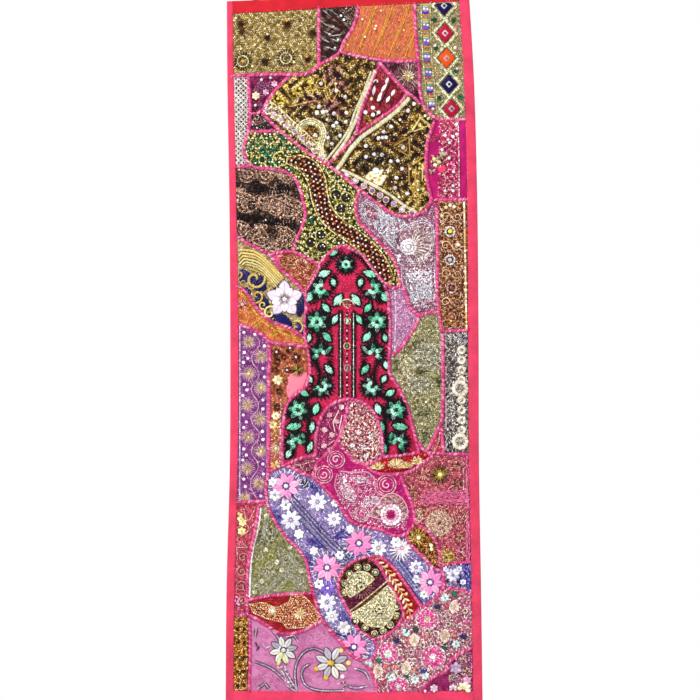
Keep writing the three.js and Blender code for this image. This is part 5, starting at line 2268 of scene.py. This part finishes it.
@sewn
def orchid_satin(w):
    w.fill("fleck", (9, 6), (3, 0.8), "dc78b4 ec98cc f4b8e0", turn=25)
    w.fill("fleck", (8, 6), (2.4, 0.8), "b84c84 c0607c e8a0b8",
        [(-190, -1352), (-130, -1362), (-150, -1392), (-192, -1388)], turn=10, grain=0)
    w.fill("fleck", (9, 6), (2.4, 0.8), "b84c84 a85c90",
        [(-110, -1280), (-40, -1270), (-30, -1292), (-80, -1300)], turn=10)
    grey = "b8b0bc d0c8d4 ece8f0"
    stems = ([(-193, -1329), (-156, -1345), (-128, -1370)],
        [(-106, -1390), (-110, -1352), (-104, -1328), (-88, -1309), (-70, -1304), (-52, -1313),
        (-40, -1328)], [(-158, -1267), (-145, -1280), (-139, -1294)],
        [(-78, -1335), (-92, -1342), (-98, -1356), (-90, -1376), (-68, -1387), (-12, -1390)],
        [(-136, -1342), (-122, -1362), (-106, -1388)], [(-126, -1378), (-110, -1389), (-98, -1390)],
        [(-187, -1262), (-189, -1282)], [(-128, -1282), (-112, -1278), (-104, -1290)],
        [(-10, -1378), (10, -1384), (34, -1380)], [(-184, -1384), (-170, -1374), (-160, -1386)],
        [(10, -1345), (30, -1352), (38, -1366)])
    for stem in stems:
        path = evenly(curve(stem), 3)
        w.thread(path, 6.6, "6c4468 845078", 0.7)
        w.row(path, 2.4, (2.6, 1.1), grey, "dash", 34)
    w.leaf([(-187, -1296), (-172, -1298), (-164, -1302), (-184, -1304)], 13, 4, [110, 125, 20, 60],
        "4c3450 b8b0bc")
    w.fill("petal", 7, (3.4, 1.8), grey, [(-145, -1340), (-128, -1338), (-104, -1388), (-116, -1388)],
        grain=0)
    daisy(w, (-133, -1308), 29, 8, "a8a4ac ccccc8 dcdcd0", "4c3450", "white", 12, 0.95)
    w.rings((-133, -1308), 9, "a8a4a0 f0ecec", 2.3, 4.4)
    w.leaf([(-142, -1332), (-126, -1328), (-137, -1318)], 15, 9, [70, 110, 90], "d0cc84 e8e4a8")
    daisy(w, (-37, -1334), 35, 8, "b0a8b4 d0ccd0 e4e0d0", "4c3450", "yellow", 66, 0.9)
    w.dots([(-18, -1309), (-3, -1334), (-67, -1345), (-48, -1363), (-41, -1333)], 5.4, "dcb03c ecd078")
    w.dots((-15, -1361), 5, "white")
    w.row(curve([(-24, -1376), (-10, -1372), (-12, -1386)]), 3, 1.8, "7c4c34 f0e0e0")


@sewn
def gem_wheels(w):
    w.fill("seed", (3.6, 3.3), 2, "b4486c d06888 e894ac f4c4d0 fcf0f0", grain=3)
    w.fill("seed", (11, 9), 2, "3c5c48 8ca890 7c5c40", grain=0)
    wheels = [(154, -1245), (77, -1313), (166, -1322), (96, -1380)]
    for (x, z), radius, heart in zip(wheels, (21, 20, 23, 21), ("cream", "cream", "white", "white")):
        w.pad(arc((x, z), radius), "f4c8dc", 0.3, 0.5)
        for angle in range(15, 375, 36):
            spot = turned([(radius * 0.62, 0)], angle, (x, z))[0]
            w.pad(lens(spot, radius * 0.8, radius * 0.42, angle), "c81c7c d83490", 0.5, 1.0)
        w.rings((x, z), radius + 1, "f8e4ec ffffff e8a4c8", 2, 4)
        w.rings((x, z), radius * 0.28, "f4c0d8 ffffff", 2, 4.4)
        w.dots((x, z), 4.4, heart)
    red = [(117, -1286), (204, -1277), (128, -1346), (195, -1221), (72, -1340), (92, -1342), (154, -1280),
        (65, -1372)]
    w.dots(red, 7, "c83c5c d8705c d88c78", "petal", 60)
    ovals = [(128, -1287, 90), (190, -1279, 90), (56, -1349, 90), (112, -1343, 90), (208, -1221, 80)]
    for x, z, turn in ovals:
        rim = lens((x, z), 26, 17, turn)
        w.pad(rim, "d8b49c e8ccb4", 0.6)
        w.row(looped(rim), 3.2, 2, "f8ecd8 fff8f0")
        w.leaf((x, z), 13, 6.4, turn, "a8a884")
    for at, radius in (
        ((124, -1286), 18), ((194, -1282), 18), ((62, -1350), 16), ((110, -1346), 19), ((152, -1280), 11)
    ):
        w.row(arc(at, radius, 150, 200), 3, 2, "f4d8c8 fff0e8 b86c6c")
    green = [(131, -1266), (59, -1328), (189, -1302), (113, -1360), (209, -1196), (180, -1196),
        (78, -1357), (28, -1332)]
    navy = [(174, -1221), (94, -1289), (147, -1350), (227, -1281), (202, -1295), (114, -1268)]
    for stones, half, hues, turn in (
        (green[:5], (8.6, 6), "0c4c34 1c6c4c", 130), (green[5:], (5, 4), "1c6c4c 5c9c80", 40),
        (navy[:4], (8, 6.2), "241458 3c2484", 160), (navy[4:], (5.4, 3.8), "0c2c4c 145474", 90)
    ):
        w.dots(stones, half, hues, "stone", turn)
    w.rings(navy[:4], 9, "c8b0b0 f4e8e8 6c5c48", 1.8)
    frost = [(112, -1272), (36, -1337), (190, -1203), (212, -1296), (130, -1366), (150, -1358),
        (84, -1362), (76, -1316)]
    w.flower(frost, 9, 7, "c8d8d8 ecf4f4", "silver", "7c988c")
    circles = [(154, -1268), (172, -1274), (196, -1256), (209, -1260), (122, -1311), (128, -1328),
        (98, -1334), (230, -1230), (196, -1242), (118, -1328), (145, -1296), (165, -1295), (186, -1236),
        (92, -1358), (100, -1310)]
    w.rings(circles, 4.6, "e8dcc8 fff8ec", 1.7, 3.4)
    w.dots(circles, 2.2, "4c7460 6c4c30 a83c5c")
    w.dots([(118, -1236), (234, -1252), (238, -1222), (238, -1310), (48, -1396)], 6, "e858a8 f080c0",
        "petal", 70)


@sewn
def blue_and_white(w):
    w.fill("fleck", (4, 3.6), 2.6, "885c90 d0a4d4 f4dcf0 ffffff", grain=4)
    w.fill("dash", (6, 2.6), (3.8, 1.4), "24188c 3c2cb0 6454cc",
        [(224, -1134), (240, -1132), (242, -1190), (232, -1186), (226, -1160)], turn=95, grain=0)
    w.fill("dash", (6, 2.6), (3.8, 1.4), "0c0a44 241c74",
        [(214, -1158), (228, -1164), (222, -1182), (214, -1176)], turn=80)
    w.fill("petal", (6, 5), (3, 1.6), "d8a0d0 ecc0e8 e080c4",
        [(218, -1186), (244, -1188), (248, -1200), (226, -1196)], grain=0)
    w.flower((206, -1158), 15, 8, "c8c0dc f0ecf8", "silver", "5c5484")
    w.flower([(226, -1172), (218, -1146), (192, -1146)], 7, 6, "c8c0dc f0ecf8", "violet", "3c3080")
    w.dots([(194, -1170), (194, -1182), (186, -1158)], 3.4, "140c24 24184c")
    w.row(curve([(188, -1146), (204, -1138), (226, -1136)]), 4, 2, "0c0a14 f8f4ff")


@sewn
def plum_velvet(w):
    w.fill("fleck", (5, 4.4), 2.6, "701444 a4286c c44484", grain=6)
    w.fill("fleck", 4, 2.6, "b48ca4 dcb4c8 f0d4dc", [(204, -1336), (232, -1314), (250, -1306),
        (250, -1400), (206, -1396), (196, -1370)], grain=6)
    for hues, at, long, wide, turn in (
        ("a8905c d8c48c f4ecb8", (226, -1322), 24, 12, 60),
        ("8c6428 ccb06c f4e4a4", (230, -1350), 30, 18, 140), ("a8a07c ccc4a0", (208, -1362), 24, 14, 20)
    ):
        w.fill("fleck", 3.8, 2.5, hues, lens(at, long, wide, turn), grain=3)
    w.flower((212, -1344), 13, 6, "b898c0 d0b4d4", "cream", "7c5070")
    w.flower((228, -1384), 15, 7, "d8cc98 f0ecc8", "cream", "8c4c60")
    w.flower((234, -1368), 9, 6, "e090c8 f0b0dc", "yellow", "8c4c60")
    w.flower([(206, -1384), (168, -1384), (150, -1394)], 9, 6, "d8a8cc ecccdc", "cream", "5c1040")
    w.thread([(206, -1352), (222, -1357)], 3, "earth")
    w.dots((228, -1341), 4, "7c4c14")
    w.row(curve([(252, -1300), (216, -1322), (196, -1346), (166, -1364)]), 4.4, 2.3, "8c1c54 f0a0c8 e868a4")


# ---- operators ---------------------------------------------------------------------------------


GROUND_CELLS = (34, 94)  # across and down


class HANGING_OT_ground(bpy.types.Operator):
    """Lays the ground cotton on which every patch is sewn"""

    bl_idname = "hanging.ground"
    bl_label = "Ground Cloth"

    def execute(self, context):
        reach = 8.0  # how far the ground goes in between the two layers of each binding
        spot = between(moved("left seam", -reach), moved("right seam", reach), moved("top seam", reach),
                       moved("bottom seam", -reach))
        bm = grid_on(*GROUND_CELLS, lambda s, t: (*spot(s, t), PANEL_FRONT))
        thickened(bm, PANEL_FRONT - PANEL_BACK)
        mesh = to_mesh(bm, "ground_cloth")
        piece = as_piece("ground_cloth", mesh, cloth_material("ground_cotton", "cotton", colour("ground")))
        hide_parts("ground_panel")
        corners = np.array([spot(s, t) for s, t in ((0, 0), (1, 0), (1, 1), (0, 1))])
        (width, tall), area = flat_size(corners)
        return {"FINISHED"}


# the section of a binding strip: the share of the way from its folded edge to its seam, and out
FOLD = (
    (0.80, 1.15), (0.95, 1.15), (1.0, 1.5), (0.94, 1.95), (0.75, 2.2), (0.45, 2.25), (0.18, 2.0),
    (0.03, 1.3), (0.0, 0.2), (0.03, -0.9), (0.18, -1.5), (0.5, -1.75), (0.9, -1.7), (1.0, -1.4),
)
BINDING_CLOTH = 0.35
FOLD_TOP = 1.9  # how far out the inner fold of a strip stands
STITCH = "b41c44 e0406c f48ca4"
SIDE_STEPS = 235  # rows of faces along a side strip, and along an end strip
END_STEPS = 80
STRIP_STEP = 6.0  # about how long one of them is
SUNK = -0.35  # how much further in the end strips lie than the side strips that cover their ends


class HANGING_OT_bindings(bpy.types.Operator):
    """Folds the four binding strips over the edges of the panel and stitches them down"""

    bl_idname = "hanging.bindings"
    bl_label = "Bindings"

    def execute(self, context):
        under = 3.0  # how far the end strips reach in under the side strips
        left, right = moved("left seam", -under), moved("right seam", under)
        ends = EDGE["top edge"], EDGE["bottom edge"]
        near = between(EDGE["left edge"], EDGE["left seam"], *ends)
        far = between(EDGE["right seam"], EDGE["right edge"], *ends)
        self.fold("left", "side", near, SIDE_STEPS)
        self.fold("right", "side", lambda s, t: far(1 - s, t), SIDE_STEPS)
        top = between(left, right, EDGE["top edge"], EDGE["top seam"])
        bottom = between(left, right, EDGE["bottom seam"], EDGE["bottom edge"])
        self.fold("top", "top", lambda s, t: top(t, s), END_STEPS, SUNK)
        self.fold("bottom", "bottom", lambda s, t: bottom(t, 1 - s), END_STEPS, SUNK)
        self.stitch()
        return {"FINISHED"}

    def fold(self, name, kind, spot, steps, sink=0.0):
        """One strip. spot gives places by the share across, from the folded edge, and along."""
        section = curve(FOLD, step=0.3)
        rng = np.random.default_rng(len(name))
        drawn = rng.uniform(-1, 1, steps + 1)

        def fabric(s, t):
            share, out = section[round(s * (len(section) - 1))]
            i = round(t * steps)
            along = i * STRIP_STEP
            wave = 0.22 * math.sin(along * 0.21 + 4 * share) + 0.15 * math.sin(along * 0.083 - 3 * share)
            dimple = 0.25 * drawn[i] * share**3 + 0.12 * (i % 2) * share**4
            x, z = spot(share, t)
            return x, z, out + (wave + dimple + sink) * (1 if out > 0 else 0.3)

        bm = grid_on(len(section) - 1, steps, fabric)
        bmesh.ops.recalc_face_normals(bm, faces=bm.faces)
        bmesh.ops.solidify(bm, geom=list(bm.faces), thickness=BINDING_CLOTH)
        mesh = to_mesh(bm, "binding_strip_" + name)
        material = bpy.data.materials.get("binding_cotton_" + kind) or cloth_material(
            "binding_cotton_" + kind, "cotton", colour("binding_" + kind)
        )
        piece = as_piece("binding_strip_" + name, mesh, material)
        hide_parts("binding_" + name)
        folded = run_of(section * (np.linalg.norm(np.subtract(spot(1, 0.5), spot(0, 0.5))), 1))[-1]
        tall = run_of(np.array([spot(0, t) for t in np.linspace(0, 1, 40)]))[-1]

    def stitch(self):
        """Small slip stitches that hold each strip down beside its seam."""
        work = Needlework("binding_stitches")
        work.height = lambda x, z: np.full(len(x), FOLD_TOP)
        down, across = np.arange(-1384.0, -12.0, 5.0), np.arange(-222.0, 236.0, 5.0)
        for seam, aside in (("left seam", -1.4), ("right seam", 1.4)):
            work.put("fleck", np.stack([EDGE[seam](down) + aside, down], 1), (1.9, 0.5), STITCH, 0.3)
        for seam, aside in (("top seam", 1.4), ("bottom seam", -1.4)):
            work.put("fleck", np.stack([across, EDGE[seam](across) + aside], 1), (1.9, 0.5), STITCH, 1.3)
        work.finish()


class HANGING_OT_patches(bpy.types.Operator):
    """Cuts the patches and sews them down"""

    bl_idname = "hanging.patches"
    bl_label = "Patches"

    def execute(self, context):
        for name, (woven, _) in PATCHES.items():
            sew_patch(patches()[name], cloth_material("cloth_" + name, *woven))
        return {"FINISHED"}


TIE_STEP = 9.0  # from one stitch over the cord to the next
SEAM_STEP = 3.0
ONE_SEAM = 5.5  # outlines closer than this share one cord


def seam_runs():
    """Where the cord runs: each outline, less what an earlier cord or a binding already covers."""
    laid = np.full((1, 2), 1e6)
    found = []
    for patch in patches().values():
        if patch.name in APPLIED:
            continue
        line = evenly(looped(patch.line), SEAM_STEP)
        far = np.min(np.linalg.norm(line[:, None] - laid[None], axis=2), axis=1)
        free = (room(*line.T) > CLEAR) & (far > ONE_SEAM)
        # one step more at each end, so that the cord meets what is there
        fresh = [line[max(0, run.start - 1) : run.stop + 1] for run in runs(free, 5)]
        found += fresh
        laid = np.vstack([laid, *fresh])
    return found


class HANGING_OT_cords(bpy.types.Operator):
    """Couches the twisted cord along the seams"""

    bl_idname = "hanging.cords"
    bl_label = "Seam Cords"

    def execute(self, context):
        work = Needlework("seam_cord")
        wide, tall = size("cord_width"), size("cord_height")
        cord, light, dark, tie = (hexed(colour(n)) for n in ("cord", "cord_highlight", "cord_shade", "cord_tie"))
        # strands across the cord in its own colour, a painted highlight and a painted shade
        lit_and_shaded_plies = f"{cord} {light} {cord} {dark}"
        for run in seam_runs():
            work.layers = 0
            run = run + work.rng.normal(0, 0.35, run.shape)
            work.thread(run, wide * 0.86, cord, tall=tall * 0.8, sides=5)
            at = evenly(run, 3.4)
            strands = heading_of(at) + math.radians(48)
            work.put("fleck", at, (wide * 0.68, 1.6), lit_and_shaded_plies, strands, tall * 0.35)
            at = evenly(run, TIE_STEP)
            work.put("fleck", at, (wide * 0.7, 0.6), tie, heading_of(at) + math.radians(80), tall * 0.95)
        work.finish()
        return {"FINISHED"}


ROWS = 6  # the needlework is joined in this many rows, from the top down


class HANGING_OT_needlework(bpy.types.Operator):
    """Embroiders and beads the patches"""

    bl_idname = "hanging.needlework"
    bl_label = "Needlework"

    def execute(self, context):
        rows = [Needlework(f"needlework_{n + 1}") for n in range(ROWS)]
        for name, sew in SEWN.items():
            patch = patches()[name]
            depth = -patch.line[:, 1].mean() / LENGTH
            sew(rows[min(ROWS - 1, int(depth * ROWS))].on(patch))
        for row in rows:
            row.finish()
        return {"FINISHED"}


EYE = (0.0, -4.0, -0.708)  # where the camera stands, in metres
FILM = 36.0  # the width of its film, in millimetres
SEEN = 1.4  # how much of the plane of the cloth its picture takes in, in metres
LIT = (0, 0, -0.7)  # where the lights point
FLOOR = -1.7


class HANGING_OT_stage(bpy.types.Operator):
    """Sets the camera, the soft lights and the pale floor"""

    bl_idname = "hanging.stage"
    bl_label = "Studio"

    def execute(self, context):
        scene = context.scene
        scene.view_settings.view_transform = "Standard"
        camera = bpy.data.cameras.new("camera")
        camera.lens = FILM * -EYE[1] / SEEN
        eye = bpy.data.objects.new("camera", camera)
        eye.location = EYE
        eye.rotation_euler = (TAU / 4, 0.0, 0.0)
        scene.collection.objects.link(eye)
        scene.camera = eye
        lights = {  # place, size and power
            "key": ((-1.7, -2.3, 1.2), 0.9, 105),
            "fill": ((2.3, -2.6, -0.2), 2.2, 22),
            "rear": ((0.4, 3.0, 1.2), 2.4, 40),
        }
        for name, (at, wide, power) in lights.items():
            light = bpy.data.lights.new(name, "AREA")
            light.size = wide
            light.energy = power
            lamp = bpy.data.objects.new(name, light)
            lamp.location = at
            x, y, z = np.array(LIT) - at
            lamp.rotation_euler = (math.acos(-z / math.hypot(x, y, z)), 0, math.atan2(y, x) - TAU / 4)
            scene.collection.objects.link(lamp)
        self.sky(scene)
        self.floor(scene)
        return {"FINISHED"}

    def sky(self, scene):
        world = bpy.data.worlds.new("studio")
        scene.world = world
        world.use_nodes = True
        tree = world.node_tree
        soft = tree.nodes["Background"]
        soft.inputs["Color"].default_value = rgba("#ffffff")
        soft.inputs["Strength"].default_value = 0.5
        seen = place(tree, "ShaderNodeBackground", Color=rgba("#ffffff"), Strength=1.0)
        mixed = tree.nodes.new("ShaderNodeMixShader")
        tree.links.new(tree.nodes.new("ShaderNodeLightPath").outputs["Is Camera Ray"], mixed.inputs[0])
        tree.links.new(soft.outputs[0], mixed.inputs[1])
        tree.links.new(seen.outputs[0], mixed.inputs[2])
        tree.links.new(mixed.outputs[0], tree.nodes["World Output"].inputs[0])

    def floor(self, scene):
        bm = bmesh.new()
        bmesh.ops.create_grid(bm, x_segments=2, y_segments=2, size=1.2)
        bmesh.ops.translate(bm, vec=(0, 0, FLOOR), verts=bm.verts)
        mesh = bpy.data.meshes.new("floor")
        bm.to_mesh(mesh)
        bm.free()
        floor = bpy.data.objects.new("floor", mesh)
        scene.collection.objects.link(floor)
        material, _, shader = new_material("floor_paint", Roughness=0.8)
        shader.inputs["Base Color"].default_value = rgba(colour("floor"))
        mesh.materials.append(material)


class HANGING_PT_panel(bpy.types.Panel):
    """Lists the steps in which the hanging is made"""

    bl_idname = "HANGING_PT_panel"
    bl_label = "Patchwork Hanging"
    bl_space_type = "VIEW_3D"
    bl_region_type = "UI"
    bl_category = "Hanging"

    def draw(self, context):
        for group in (context.scene.hanging_sizes, context.scene.hanging_colours):
            for name in group.__annotations__:
                self.layout.prop(group, name)
        for step in STEPS:
            self.layout.operator(step.bl_idname)


STEPS = (
    HANGING_OT_stage,
    HANGING_OT_ground,
    HANGING_OT_bindings,
    HANGING_OT_patches,
    HANGING_OT_cords,
    HANGING_OT_needlework,
)
CLASSES = (HangingSizes, HangingColours, *STEPS, HANGING_PT_panel)


def register():
    for cls in CLASSES:
        bpy.utils.register_class(cls)
    bpy.types.Scene.hanging_sizes = bpy.props.PointerProperty(type=HangingSizes)
    bpy.types.Scene.hanging_colours = bpy.props.PointerProperty(type=HangingColours)


def unregister():
    del bpy.types.Scene.hanging_colours
    del bpy.types.Scene.hanging_sizes
    for cls in reversed(CLASSES):
        bpy.utils.unregister_class(cls)


def main():
    register()
    for step in STEPS:
        group, name = step.bl_idname.split(".")
        getattr(getattr(bpy.ops, group), name)()


if __name__ == "__main__":
    main()
